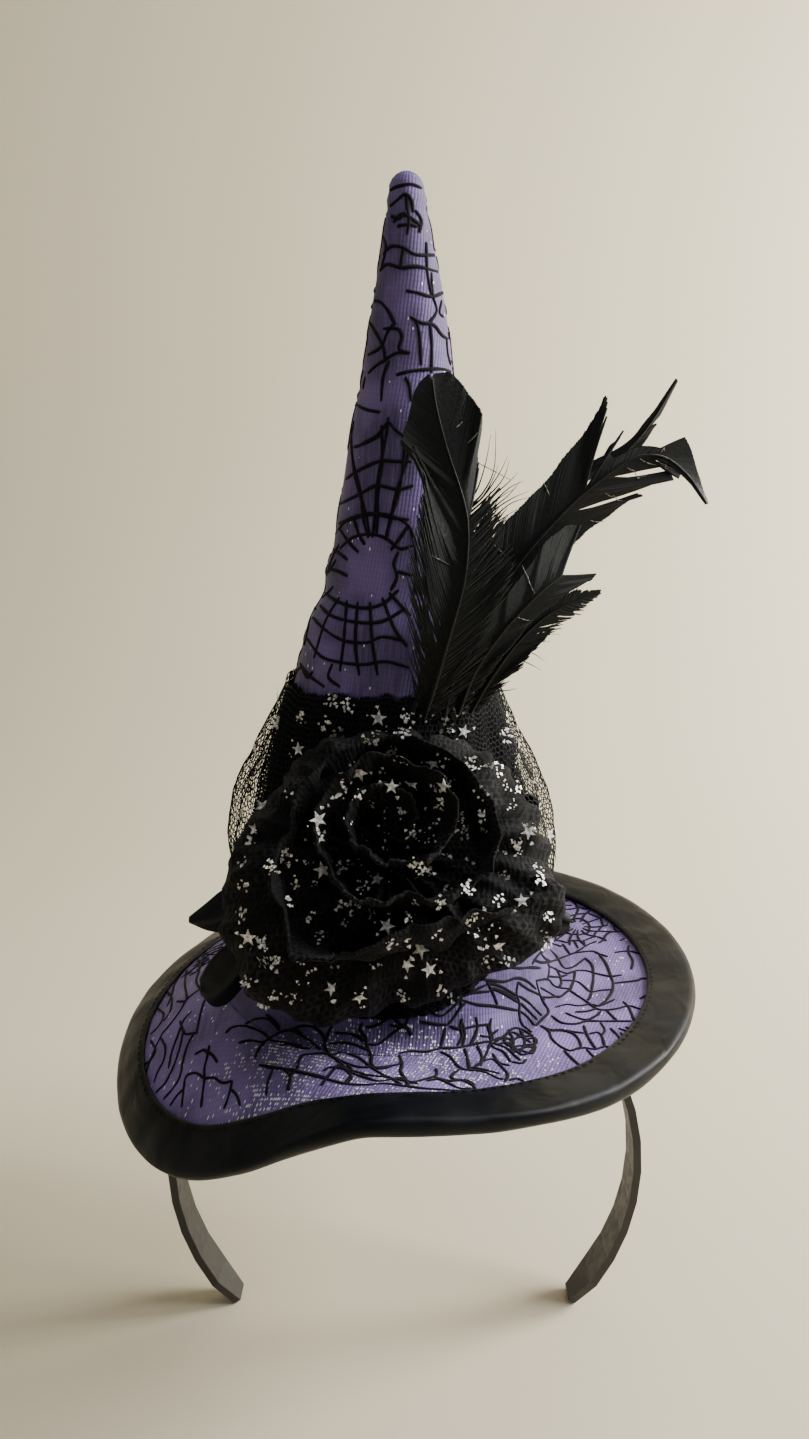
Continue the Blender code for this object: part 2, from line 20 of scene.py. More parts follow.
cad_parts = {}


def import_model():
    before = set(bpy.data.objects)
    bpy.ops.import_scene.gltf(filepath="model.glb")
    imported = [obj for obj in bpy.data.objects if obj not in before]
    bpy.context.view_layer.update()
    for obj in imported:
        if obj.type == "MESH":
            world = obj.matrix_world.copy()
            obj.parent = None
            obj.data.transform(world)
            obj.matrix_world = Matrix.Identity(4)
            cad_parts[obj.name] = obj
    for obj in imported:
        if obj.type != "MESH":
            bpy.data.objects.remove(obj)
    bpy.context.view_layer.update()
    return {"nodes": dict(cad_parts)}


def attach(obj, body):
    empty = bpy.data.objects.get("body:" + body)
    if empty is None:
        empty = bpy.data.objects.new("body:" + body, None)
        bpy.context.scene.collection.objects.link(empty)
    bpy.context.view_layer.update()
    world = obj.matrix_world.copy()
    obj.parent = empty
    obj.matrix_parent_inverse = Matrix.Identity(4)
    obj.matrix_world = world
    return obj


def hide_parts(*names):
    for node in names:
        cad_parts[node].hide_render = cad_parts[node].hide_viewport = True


LOG = logging.getLogger("witch_hat")
MM = 0.001
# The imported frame's height of the plane where the crown meets the brim
FOOT = Vector((0.0, 0.0, -9.00465))
TURN = 2 * math.pi
TOWARDS_VIEW = Vector((0.0, -1.0, 0.0))

Socket = bpy.types.NodeSocket
Node = bpy.types.Node
NodeTree = bpy.types.NodeTree
Material = bpy.types.Material
Object = bpy.types.Object


# Arithmetic that the pieces share

def row_at(rows: Sequence[Sequence[float]], position: float) -> list[float]:
    """Read a table at a place in its first column, on a smooth curve through its rows.

    Args:
        rows: The table, with its first column rising.
        position: The place in the first column.

    Returns:
        The values of the other columns.
    """
    last = len(rows) - 1
    position = min(max(position, rows[0][0]), rows[last][0])
    index = 0
    while index < last - 1 and position > rows[index + 1][0]:
        index += 1
    start, end = rows[index], rows[index + 1]
    span = end[0] - start[0]
    t = (position - start[0]) / span
    before, after = rows[max(index - 1, 0)], rows[min(index + 2, last)]
    values = []
    for column in range(1, len(start)):
        slope_a = (end[column] - before[column]) / (end[0] - before[0])
        slope_b = (after[column] - start[column]) / (after[0] - start[0])
        values.append((2 * t ** 3 - 3 * t ** 2 + 1) * start[column]
                      + (t ** 3 - 2 * t ** 2 + t) * span * slope_a
                      + (3 * t ** 2 - 2 * t ** 3) * end[column]
                      + (t ** 3 - t ** 2) * span * slope_b)
    return values


def crinkle(point: Vector, size: float, seed: float = 0.0) -> float:
    """Return a smooth random value from -1 to 1 that changes over about size millimetres."""
    return noise.noise(point / size + Vector((seed, seed * 1.7, seed * 0.3)))


def polar(radius: float, angle: float, height: float = 0.0, lean: float = 0.0) -> Vector:
    """Return a point at a radius and an angle round the hat's axis, or round a leaning one."""
    return Vector((lean + radius * math.cos(angle), radius * math.sin(angle), height))


def degrees_off(angle: float, middle: float) -> float:
    """Return how many degrees an angle lies from a direction, from -180 to 180."""
    return (math.degrees(angle) - middle + 180.0) % 360.0 - 180.0


def full_circle(rows: Sequence[tuple]) -> tuple:
    """Repeat a table that starts with an angle, a turn before and a turn after itself."""
    return tuple((angle + turn, *rest) for turn in (-360.0, 0.0, 360.0) for angle, *rest in rows)


def traced(line: Sequence[float]) -> list[tuple]:
    """Number the points of a line traced as x, y, x, y and so on."""
    return [(k, *line[2 * k:2 * k + 2]) for k in range(len(line) // 2)]


def runs(items: Sequence) -> Iterator[list]:
    """Yield the stretches of two or more items that have no None between them."""
    run: list = []
    for item in [*items, None]:
        if item is not None:
            run.append(item)
            continue
        if len(run) > 1:
            yield run
        run = []


def new_object(name: str, data: bpy.types.ID) -> Object:
    """Put a mesh, light or camera in the scene, at the origin."""
    item = bpy.data.objects.new(name, data)
    bpy.context.collection.objects.link(item)
    return item


def point_values(mesh: bpy.types.Mesh, name: str, values: Sequence) -> None:
    """Give every point of a mesh its own vector or number."""
    if isinstance(values[0], Vector):
        layer = mesh.attributes.new(name, "FLOAT_VECTOR", "POINT")
        layer.data.foreach_set("vector", [number for value in values for number in value])
    else:
        mesh.attributes.new(name, "FLOAT", "POINT").data.foreach_set("value", values)


# The photograph's view

@dataclass(frozen=True)
class PhotoView:
    """The camera that sees the hat as the photograph does."""

    back: float = 0.300
    height: float = 0.134
    pitch: float = 78.0
    lens: float = 26.0
    sensor: float = 36.0
    width: int = 809
    tall: int = 1439

    def ray(self, x: float, y: float) -> tuple[Vector, Vector]:
        """Return where a pixel's line of sight starts, in millimetres, and its direction."""
        down = math.radians(90.0 - self.pitch)
        ahead = Vector((0.0, math.cos(down), -math.sin(down)))
        upward = Vector((0.0, math.sin(down), math.cos(down)))
        focal = self.lens / self.sensor * self.tall
        way = ahead * focal + Vector((x - self.width / 2, 0.0, 0.0)) + upward * (self.tall / 2 - y)
        return Vector((0.0, -self.back, self.height)) / MM, way.normalized()

    def place_camera(self) -> None:
        """Add the camera and make it the scene's own."""
        data = bpy.data.cameras.new("photo_view")
        data.lens = self.lens
        data.sensor_width = self.sensor
        data.clip_start = 0.01
        camera = new_object("photo_view", data)
        camera.location = (0.0, -self.back, self.height)
        camera.rotation_euler = (math.radians(self.pitch), 0.0, 0.0)
        bpy.context.scene.camera = camera


@dataclass(frozen=True)
class Enlargement:
    """A part of the photograph, enlarged, over which lines and spots were drawn."""

    left: float
    top: float
    scale: float

    def ray(self, view: PhotoView, x: float, y: float) -> tuple[Vector, Vector]:
        """Return the line of sight through a place on the enlargement."""
        return view.ray(self.left + x / self.scale, self.top + y / self.scale)

    def at_depth(self, view: PhotoView, x: float, y: float, depth: float) -> Vector:
        """Return the point of the hat seen at a place, on an upright plane at a depth."""
        start, way = self.ray(view, x, y)
        return start + way * ((depth - start.y) / way.y) - FOOT


LOWER_PART = Enlargement(100.0, 640.0, 2.489)
PLUME_PART = Enlargement(390.0, 360.0, 4.612)


@dataclass
class Skins:
    """Surfaces, in millimetres, on which lines of sight are followed to what they meet."""

    points: list[Vector] = field(default_factory=list)
    faces: list[tuple[int, ...]] = field(default_factory=list)

    def add(self, *items: Object) -> None:
        """Add the faces of pieces."""
        for item in items:
            self.add_points([vertex.co / MM for vertex in item.data.vertices],
                            [tuple(face.vertices) for face in item.data.polygons])

    def add_points(self, points: Sequence[Vector], faces: Sequence[tuple[int, ...]]) -> None:
        """Add faces on points of their own."""
        first = len(self.points)
        self.points.extend(points)
        self.faces.extend(tuple(first + k for k in face) for face in faces)

    def tree(self) -> BVHTree:
        """Return the search tree over all the faces."""
        return BVHTree.FromPolygons(self.points, self.faces)


# Meshes

@dataclass
class Cloth:
    """A grid of points, in millimetres, that becomes a mesh with a UV map in millimetres."""

    points: list[Vector] = field(default_factory=list)
    faces: list[tuple[int, ...]] = field(default_factory=list)
    flat: list[tuple[float, float]] = field(default_factory=list)

    def grid(self, rows: list[list[Vector]], flat: Callable[[int, int], tuple[float, float]],
             around: bool = False, flip: bool = False) -> None:
        """Add a grid of quads.

        Args:
            rows: The points, row by row.
            flat: Gives the flat cloth's place, in millimetres, of a row and column.
            around: True where the last column joins the first.
            flip: True to turn the faces over.
        """
        first = len(self.points)
        width = len(rows[0])
        for row in rows:
            self.points.extend(row)
        for i in range(len(rows) - 1):
            for j in range(width if around else width - 1):
                n = (j + 1) % width
                quad = [first + i * width + j, first + i * width + n,
                        first + (i + 1) * width + n, first + (i + 1) * width + j]
                places = [flat(i, j), flat(i, j + 1), flat(i + 1, j + 1), flat(i + 1, j)]
                if flip:
                    quad.reverse()
                    places.reverse()
                self.faces.append(tuple(quad))
                self.flat.extend(places)

    def make(self, name: str, finish: Material, weld: float = 0.0,
             outwards: bool = False) -> Object:
        """Make the object at the origin, with its place in its mesh.

        Args:
            name: The piece's name.
            finish: Its material.
            weld: Points closer than this, in millimetres, become one.
            outwards: True for a closed shape whose faces are turned outwards.

        Returns:
            The object.
        """
        mesh = bpy.data.meshes.new(name)
        mesh.from_pydata([(p + FOOT) * MM for p in self.points], [], self.faces)
        layer = mesh.uv_layers.new(name="cloth_mm")
        layer.data.foreach_set("uv", [value for place in self.flat for value in place])
        work = bmesh.new()
        work.from_mesh(mesh)
        if weld:
            bmesh.ops.remove_doubles(work, verts=work.verts, dist=weld * MM)
        if outwards:
            bmesh.ops.recalc_face_normals(work, faces=work.faces)
        work.to_mesh(mesh)
        work.free()
        mesh.materials.append(finish)
        mesh.shade_smooth()
        return new_object(name, mesh)


def settle(item: Object, *nodes: str, slot: str) -> Object:
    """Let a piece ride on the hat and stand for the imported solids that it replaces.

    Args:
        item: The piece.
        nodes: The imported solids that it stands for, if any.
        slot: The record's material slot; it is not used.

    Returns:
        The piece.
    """
    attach(item, "root")
    if nodes:
        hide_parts(*nodes)
    LOG.info("%s: %d faces", item.name, len(item.data.polygons))
    return item


# Strands: one geometry tree sweeps threads, barbs, stitches and raised lines

@dataclass
class Strands:
    """Lines that become thin closed strips, each with its own facing and width at every point."""

    points: list[Vector] = field(default_factory=list)
    edges: list[tuple[int, int]] = field(default_factory=list)
    facing: list[Vector] = field(default_factory=list)
    width: list[float] = field(default_factory=list)

    def add(self, line: Sequence[Vector], facing: Sequence[Vector], width: Sequence[float]) -> None:
        """Add one line, with the way its flat side faces and its half width at each point."""
        first = len(self.points)
        self.points.extend(line)
        self.facing.extend(facing)
        self.width.extend(width)
        self.edges.extend((first + k, first + k + 1) for k in range(len(line) - 1))

    def sweep(self, name: str, finish: Material, sides: int, flatness: float,
              caps: bool = True) -> Object:
        """Sweep every line into a strip with Geometry Nodes and return the finished piece.

        Args:
            name: The piece's name.
            finish: Its material.
            sides: How many sides a strip's section has.
            flatness: The section's thickness as a share of its width.
            caps: True to close the strips' ends.

        Returns:
            The object, a plain mesh.
        """
        mesh = bpy.data.meshes.new(name)
        mesh.from_pydata([(p + FOOT) * MM for p in self.points], self.edges, [])
        point_values(mesh, "facing", self.facing)
        point_values(mesh, "half_width", [w * MM for w in self.width])
        return run_tree(new_object(name, mesh), strand_tree(), {
            "Sides": sides, "Flatness": flatness, "Caps": caps, "Finish": finish})


def tree_sockets(tree: NodeTree, inputs: Sequence[tuple], outputs: Sequence[tuple]) -> None:
    """Give a node tree its named inputs, as (name, kind, default), and outputs, as (name, kind)."""
    for name, kind, *default in inputs:
        socket = tree.interface.new_socket(name, in_out="INPUT", socket_type=kind)
        if default:
            socket.default_value = default[0]
    for name, kind in outputs:
        tree.interface.new_socket(name, in_out="OUTPUT", socket_type=kind)


def run_tree(item: Object, tree: NodeTree, values: dict) -> Object:
    """Run a geometry tree on an object and keep its result as a plain mesh.

    Args:
        item: The object that carries the tree's input.
        tree: The geometry tree.
        values: The tree's inputs by name.

    Returns:
        The object with its new mesh.
    """
    change = item.modifiers.new(tree.name, "NODES")
    change.node_group = tree
    for socket in tree.interface.items_tree:
        if getattr(socket, "in_out", "") == "INPUT" and socket.name in values:
            change[socket.identifier] = values[socket.name]
    bpy.context.view_layer.update()
    graph = bpy.context.evaluated_depsgraph_get()
    mesh = bpy.data.meshes.new_from_object(item.evaluated_get(graph), depsgraph=graph,
                                           preserve_all_data_layers=True)
    item.modifiers.clear()
    old = item.data
    item.data = mesh
    bpy.data.meshes.remove(old)
    mesh.name = item.name
    return item


class Nodes:
    """Short calls for adding and joining nodes in one tree."""

    def __init__(self, tree: NodeTree) -> None:
        """Keep the tree and clear it."""
        self.tree = tree
        tree.nodes.clear()

    def add(self, kind: str, inputs: dict | None = None, **settings: object) -> Node:
        """Add a node.

        Args:
            kind: Its type.
            inputs: Its inputs by name or number: a node or socket to join, or a value to set.
            settings: Its own properties.

        Returns:
            The node.
        """
        node = self.tree.nodes.new(kind)
        for name, value in settings.items():
            setattr(node, name, value)
        for name, value in (inputs or {}).items():
            self.feed(node.inputs[name], value)
        return node

    def feed(self, socket: Socket, value: object) -> None:
        """Join a socket to another one or to a node's first output, or give it a value."""
        if isinstance(value, Node):
            value = value.outputs[0]
        if isinstance(value, Socket):
            self.tree.links.new(value, socket)
        else:
            socket.default_value = value

    def math(self, operation: str, *values: object) -> Socket:
        """Return the result of a Math node on sockets or numbers."""
        node = self.add("ShaderNodeMath", operation=operation)
        for socket, value in zip(node.inputs, values):
            self.feed(socket, value)
        return node.outputs[0]

    def plus(self, first: object, second: object) -> Socket:
        """Return a sum."""
        return self.math("ADD", first, second)

    def times(self, first: object, second: object) -> Socket:
        """Return a product."""
        return self.math("MULTIPLY", first, second)

    def noise(self, place: Socket, scale: float, detail: float = 2.0, **more: float) -> Socket:
        """Return a cloudy value from 0 to 1."""
        return self.add("ShaderNodeTexNoise", {"Vector": place, "Scale": scale, "Detail": detail,
                                               **more}).outputs[0]

    def turned(self, place: Socket, angle: float) -> Socket:
        """Return a place turned about its third axis."""
        return self.add("ShaderNodeMapping",
                        {"Vector": place, "Rotation": (0.0, 0.0, angle)}).outputs[0]

    def group(self, tree: NodeTree, **inputs: object) -> Node:
        """Add a node group with its inputs by name."""
        return self.add("ShaderNodeGroup", inputs, node_tree=tree)

    def attribute(self, name: str, kind: str) -> Socket:
        """Return a named attribute of the points."""
        return self.add("GeometryNodeInputNamedAttribute", {"Name": name},
                        data_type=kind).outputs["Attribute"]

    def vector(self, operation: str, *values: object) -> Socket:
        """Return the result of a Vector Math node on sockets or vectors."""
        node = self.add("ShaderNodeVectorMath", operation=operation)
        for socket, value in zip(node.inputs, values):
            self.feed(socket, value)
        return node.outputs["Vector"]

    def blend(self, share: object, first: object, second: object) -> Socket:
        """Return a colour between two colours."""
        node = self.add("ShaderNodeMix", data_type="RGBA")
        for number, value in ((0, share), (6, first), (7, second)):
            self.feed(node.inputs[number], value)
        return node.outputs[2]

    def ramp(self, value: Socket, low: float, high: float, start: float = 0.0,
             end: float = 1.0) -> Socket:
        """Return a value stretched smoothly from one range to another."""
        return self.add("ShaderNodeMapRange", {
            "Value": value, "From Min": low, "From Max": high, "To Min": start, "To Max": end},
            interpolation_type="SMOOTHSTEP").outputs[0]


@functools.cache
def strand_tree() -> NodeTree:
    """Return the geometry tree that sweeps lines into strips."""
    tree = bpy.data.node_groups.new("swept_strands", "GeometryNodeTree")
    tree_sockets(tree, (("Lines", "NodeSocketGeometry"), ("Sides", "NodeSocketInt", 4),
                        ("Flatness", "NodeSocketFloat", 0.3), ("Caps", "NodeSocketBool", True),
                        ("Finish", "NodeSocketMaterial")), (("Strips", "NodeSocketGeometry"),))
    nodes = Nodes(tree)
    given = nodes.add("NodeGroupInput").outputs
    width = nodes.attribute("half_width", "FLOAT")
    curves = nodes.add("GeometryNodeMeshToCurve", {"Mesh": given["Lines"]})
    turned = nodes.add("GeometryNodeSetCurveNormal", {"Curve": curves}, mode="FREE")
    nodes.feed(turned.inputs["Normal"], nodes.attribute("facing", "FLOAT_VECTOR"))
    sized = nodes.add("GeometryNodeSetCurveRadius", {"Curve": turned, "Radius": width})
    circle = nodes.add("GeometryNodeCurvePrimitiveCircle",
                       {"Resolution": given["Sides"], "Radius": 1.0})
    flat = nodes.add("ShaderNodeCombineXYZ", {"X": given["Flatness"], "Y": 1.0, "Z": 1.0})
    section = nodes.add("GeometryNodeTransform", {"Geometry": circle, "Scale": flat})
    strip = nodes.add("GeometryNodeCurveToMesh", {
        "Curve": sized, "Profile Curve": section, "Fill Caps": given["Caps"]})
    if "Scale" in strip.inputs:
        nodes.feed(strip.inputs["Scale"], width)
    smooth = nodes.add("GeometryNodeSetShadeSmooth", {"Geometry": strip})
    real = nodes.add("GeometryNodeRealizeInstances", {"Geometry": smooth})
    dressed = nodes.add("GeometryNodeSetMaterial", {"Geometry": real, "Material": given["Finish"]})
    nodes.add("NodeGroupOutput", {"Strips": dressed})
    return tree


# Shader node groups that several finishes share

def shader_group(name: str, inputs: Sequence[tuple], outputs: Sequence[tuple]
                 ) -> tuple[Nodes, list[Socket]]:
    """Start a shader node group with named inputs and outputs.

    Args:
        name: The group's name.
        inputs: Its inputs, as (name, kind, default).
        outputs: Its outputs, as (name, kind).

    Returns:
        Its nodes, and what its inputs give.
    """
    tree = bpy.data.node_groups.new(name, "ShaderNodeTree")
    tree_sockets(tree, inputs, outputs)
    nodes = Nodes(tree)
    return nodes, nodes.add("NodeGroupInput").outputs[:len(inputs)]


@functools.cache
def knit_group() -> NodeTree:
    """Return the group for knitted cloth: fine ribs crossed by courses, with uneven threads."""
    nodes, (place, rib, course, wander) = shader_group(
        "knit", (("Place", "NodeSocketVector"), ("Rib", "NodeSocketFloat", 0.6),
                 ("Course", "NodeSocketFloat", 0.8), ("Wander", "NodeSocketFloat", 0.3)),
        (("Height", "NodeSocketFloat"), ("Thread", "NodeSocketFloat")))
    shift = nodes.times(nodes.math("SUBTRACT", nodes.noise(place, 0.35), 0.5), wander)
    split = nodes.add("ShaderNodeSeparateXYZ", {"Vector": place})
    waves = []
    for axis, pitch in ((0, rib), (1, course)):
        count = nodes.plus(nodes.math("DIVIDE", split.outputs[axis], pitch), shift)
        waves.append(nodes.math("ABSOLUTE", nodes.math("SINE", nodes.times(count, math.pi))))
    height = nodes.plus(nodes.times(waves[0], 0.7), nodes.times(waves[1], 0.3))
    nodes.add("NodeGroupOutput", {"Height": height, "Thread": nodes.noise(place, 1.7, 3.0)})
    return nodes.tree


@functools.cache
def glint_group() -> NodeTree:
    """Return the group for glints: small bright dots, some cells out of many, for silver flecks and
    painted highlight.
    """
    nodes, (place, pitch, share, dot) = shader_group(
        "glint", (("Place", "NodeSocketVector"), ("Pitch", "NodeSocketFloat", 0.5),
                  ("Share", "NodeSocketFloat", 0.2), ("Dot", "NodeSocketFloat", 0.35)),
        (("Mask", "NodeSocketFloat"),))
    cells = nodes.add("ShaderNodeTexVoronoi", {
        "Vector": place, "Scale": nodes.math("DIVIDE", 1.0, pitch), "Randomness": 0.35})
    pick = nodes.add("ShaderNodeSeparateColor", {"Color": cells.outputs["Color"]})
    nodes.add("NodeGroupOutput", {"Mask": nodes.times(
        nodes.math("LESS_THAN", pick.outputs[0], share),
        nodes.math("LESS_THAN", cells.outputs["Distance"], dot))})
    return nodes.tree


@functools.cache
def hex_net_group() -> NodeTree:
    """Return the group for six-sided net: 1 on the threads and 0 in the holes."""
    nodes, (place, pitch, thread) = shader_group(
        "hex_net", (("Place", "NodeSocketVector"), ("Pitch", "NodeSocketFloat", 1.6),
                    ("Thread", "NodeSocketFloat", 0.35)), (("Mask", "NodeSocketFloat"),))
    split = nodes.add("ShaderNodeSeparateXYZ", {"Vector": place})
    x, y = (nodes.math("DIVIDE", split.outputs[axis], pitch) for axis in (0, 1))
    tall = math.sqrt(3.0)
    cells = []
    for offset in (0.0, 0.5):
        dx = nodes.math("SUBTRACT", nodes.math("WRAP", nodes.plus(x, offset), 1.0, 0.0), 0.5)
        dy = nodes.math("SUBTRACT", nodes.math("WRAP", nodes.plus(y, offset * tall), tall, 0.0),
                        tall / 2)
        far_x, far_y = nodes.math("ABSOLUTE", dx), nodes.math("ABSOLUTE", dy)
        slant = nodes.plus(nodes.times(far_x, 0.5), nodes.times(far_y, tall / 2))
        cells.append((nodes.plus(nodes.times(dx, dx), nodes.times(dy, dy)),
                      nodes.math("MAXIMUM", far_x, slant)))
    nearer = nodes.math("LESS_THAN", cells[0][0], cells[1][0])
    rim = nodes.add("ShaderNodeMix", {0: nearer, 2: cells[1][1], 3: cells[0][1]})
    limit = nodes.math("SUBTRACT", 0.5, nodes.math("DIVIDE", nodes.times(thread, 0.5), pitch))
    nodes.add("NodeGroupOutput", {"Mask": nodes.math("GREATER_THAN", rim, limit)})
    return nodes.tree


# Finishes

def cloth_place(nodes: Nodes) -> Socket:
    """Return the flat cloth's place in millimetres, from the piece's UV map."""
    return nodes.add("ShaderNodeUVMap", uv_map="cloth_mm").outputs[0]


def object_place(nodes: Nodes) -> Socket:
    """Return the place on the object in millimetres."""
    place = nodes.add("ShaderNodeTexCoord").outputs["Object"]
    return nodes.vector("MULTIPLY", place, (1000.0, 1000.0, 1000.0))


def start_finish(name: str, **constants: object) -> tuple[Material, Nodes, Node]:
    """Start a material with its shader and output.

    Args:
        name: The material's name.
        constants: The shader's own constant inputs, with spaces written as underscores.

    Returns:
        The material, its nodes and its shader.
    """
    material = bpy.data.materials.new(name)
    material.use_nodes = True
    nodes = Nodes(material.node_tree)
    shader = nodes.add("ShaderNodeBsdfPrincipled",
                       {key.replace("_", " "): value for key, value in constants.items()})
    nodes.add("ShaderNodeOutputMaterial", {"Surface": shader})
    return material, nodes, shader


def bump(nodes: Nodes, shader: Node, height: Socket, distance: float,
         strength: float = 1.0) -> None:
    """Join a height, in millimetres of distance, to the shader's normal."""
    nodes.feed(shader.inputs["Normal"], nodes.add("ShaderNodeBump", {
        "Strength": strength, "Distance": distance * MM, "Height": height}))


@dataclass(frozen=True)
class PurpleCloth:
    """Purple knitted cloth with slanting ribs, silver flecks along them, and a painted highlight of
    many more glints in front.
    """

    name: str
    light: tuple = (0.262, 0.186, 0.470, 1.0)
    dark: tuple = (0.120, 0.086, 0.225, 1.0)
    shadow: tuple = (0.060, 0.042, 0.12, 1.0)
    # Glint colour: the cloth's silver flecks, and painted highlight where the light catches in
    # front
    glint: tuple = (0.97, 0.96, 1.0, 1.0)
    glint_share: float = 0.03
    # How much painted highlight adds glints in front, where the light catches
    painted_glint_front: float = 0.5
    slant: float = -1.17
    rib: float = 0.95

    def material(self) -> Material:
        """Return the material."""
        made, nodes, shader = start_finish(self.name, Sheen_Weight=0.12, Sheen_Roughness=0.4,
                                           Specular_IOR_Level=0.3)
        place = cloth_place(nodes)
        slanted = nodes.turned(place, self.slant)
        knit = nodes.group(knit_group(), Place=nodes.turned(slanted, math.pi / 2), Rib=self.rib,
                           Course=1.4)
        streak = nodes.noise(nodes.vector("MULTIPLY", place, (0.9, 0.05, 1.0)), 1.0, 3.0)
        body = nodes.blend(nodes.ramp(nodes.noise(place, 0.055, 3.0), 0.35, 0.68), self.dark,
                           self.light)
        body = nodes.blend(nodes.ramp(streak, 0.40, 0.70, 0.0, 0.45), body, self.light)
        body = nodes.blend(nodes.ramp(knit, 0.1, 0.9, 0.38, 0.0), body, self.shadow)
        # Painted highlight: many more glints on the front of the brim and the crown's foot, where
        # the light catches them
        where = nodes.add("ShaderNodeSeparateXYZ", {"Vector": object_place(nodes)})
        aside = nodes.math("ABSOLUTE", nodes.plus(where.outputs[0], 8.0))
        front = nodes.times(nodes.ramp(where.outputs[1], -40.0, -50.0),
                            nodes.ramp(aside, 52.0, 22.0))
        share = nodes.times(nodes.plus(nodes.times(front, self.painted_glint_front), self.glint_share),
                            nodes.ramp(nodes.noise(place, 0.13), 0.38, 0.56, 0.12, 1.0))
        mask = nodes.group(glint_group(), Place=nodes.vector("MULTIPLY", slanted, (0.45, 1.0, 1.0)),
                           Pitch=self.rib * 0.56, Dot=0.36, Share=share)
        nodes.feed(shader.inputs["Base Color"], nodes.blend(mask, body, self.glint))
        nodes.feed(shader.inputs["Metallic"], nodes.times(mask, 0.15))
        nodes.feed(shader.inputs["Roughness"], nodes.ramp(mask, 0.0, 1.0, 0.66, 0.38))
        relief = nodes.plus(knit, nodes.times(knit.outputs["Thread"], 0.6))
        bump(nodes, shader, relief, 0.14, 0.8)
        return made


@dataclass(frozen=True)
class Mottled:
    """A plain finish whose colour and roughness wander between two values."""

    name: str
    dark: tuple
    light: tuple
    grain: float
    spread: tuple = (0.3, 0.7)
    rough: tuple = (0.9, 0.9)
    relief: float = 0.05
    metal: float = 0.0
    sheen: float = 0.0
    specular: float = 0.2

    def material(self) -> Material:
        """Return the material."""
        made, nodes, shader = start_finish(self.name, Metallic=self.metal, Sheen_Weight=self.sheen,
                                           Specular_IOR_Level=self.specular)
        fibre = nodes.noise(object_place(nodes), self.grain, 3.0)
        nodes.feed(shader.inputs["Base Color"], nodes.blend(
            nodes.ramp(fibre, *self.spread), (*self.dark, 1.0), (*self.light, 1.0)))
        nodes.feed(shader.inputs["Roughness"], nodes.ramp(fibre, 0.3, 0.7, *self.rough))
        bump(nodes, shader, fibre, self.relief)
        return made


# Raised black webs, thread of the open net, barbs, cracks across the barbs, foil and hidden band
FLOCK = Mottled("black_flock", (0.0015, 0.0012, 0.0025), (0.010, 0.008, 0.014), 3.2, relief=0.12,
                sheen=0.05, specular=0.15)
THREAD = Mottled("black_thread", (0.0015, 0.0015, 0.002), (0.009, 0.009, 0.011), 2.4,
                 rough=(0.55, 0.75))
BARBS = Mottled("black_barbs", (0.0028, 0.0042, 0.0042), (0.0100, 0.0120, 0.0130), 1.5,
                (0.5, 0.85), (0.42, 0.6), 0.06, sheen=0.03, specular=0.22)
CRACK = Mottled("pale_crack", (0.05, 0.05, 0.048), (0.42, 0.41, 0.37), 1.1, (0.35, 0.65),
                (0.6, 0.6), specular=0.3)
FOIL = Mottled("silver_foil", (0.42, 0.41, 0.39), (0.97, 0.96, 0.93), 0.9, (0.40, 0.62),
               (0.48, 0.32), 0.3, metal=0.35)
BAND = Mottled("band_plastic", (0.011, 0.011, 0.012), (0.021, 0.021, 0.022), 0.4, (0.4, 0.7),
               (0.42, 0.62), 0.06, specular=0.5)


@dataclass(frozen=True)
class BlackSatin:
    """Black satin: a smooth fine weave with soft broad lights and wrinkles."""

    name: str
    shade: tuple = (0.0026, 0.0034, 0.0048, 1.0)
    worn: tuple = (0.0060, 0.0078, 0.0105, 1.0)
    rough: float = 0.38

    def material(self) -> Material:
        """Return the material."""
        made, nodes, shader = start_finish(self.name, Sheen_Weight=0.03, Sheen_Roughness=0.3,
                                           Specular_IOR_Level=0.17)
        place = cloth_place(nodes)
        knit = nodes.group(knit_group(), Place=place, Rib=0.30, Course=0.9, Wander=0.2)
        cloud = nodes.noise(place, 0.05, 3.0)
        crease = nodes.noise(nodes.vector("MULTIPLY", place, (0.085, 0.14, 1.0)), 1.0, 1.5,
                             Distortion=0.7)
        nodes.feed(shader.inputs["Base Color"], nodes.blend(
            nodes.ramp(cloud, 0.35, 0.7), self.shade, self.worn))
        nodes.feed(shader.inputs["Roughness"], nodes.ramp(cloud, 0.3, 0.7, self.rough,
                                                          self.rough + 0.14))
        bump(nodes, shader, nodes.plus(nodes.times(knit, 0.024), crease), 0.9, 0.5)
        return made


@dataclass(frozen=True)
class NetVeil:
    """A layer of black net whose holes are open."""

    name: str
    pitch: float = 1.5
    thread: float = 0.55
    dense: float = 0.35
    dark: tuple = (0.0012, 0.0012, 0.0016, 1.0)
    light: tuple = (0.007, 0.007, 0.009, 1.0)

    def material(self) -> Material:
        """Return the material."""
        made, nodes, shader = start_finish(self.name, Roughness=0.8, Specular_IOR_Level=0.12)
        place = cloth_place(nodes)
        first = nodes.group(hex_net_group(), Place=place, Pitch=self.pitch, Thread=self.thread)
        second = nodes.group(hex_net_group(), Place=nodes.turned(place, 0.5), Thread=self.dense,
                             Pitch=self.pitch * 0.93)
        nodes.feed(shader.inputs["Base Color"], nodes.blend(nodes.noise(place, 0.3), self.dark,
                                                            self.light))
        nodes.feed(shader.inputs["Alpha"], nodes.math("MAXIMUM", first, second))
        return made


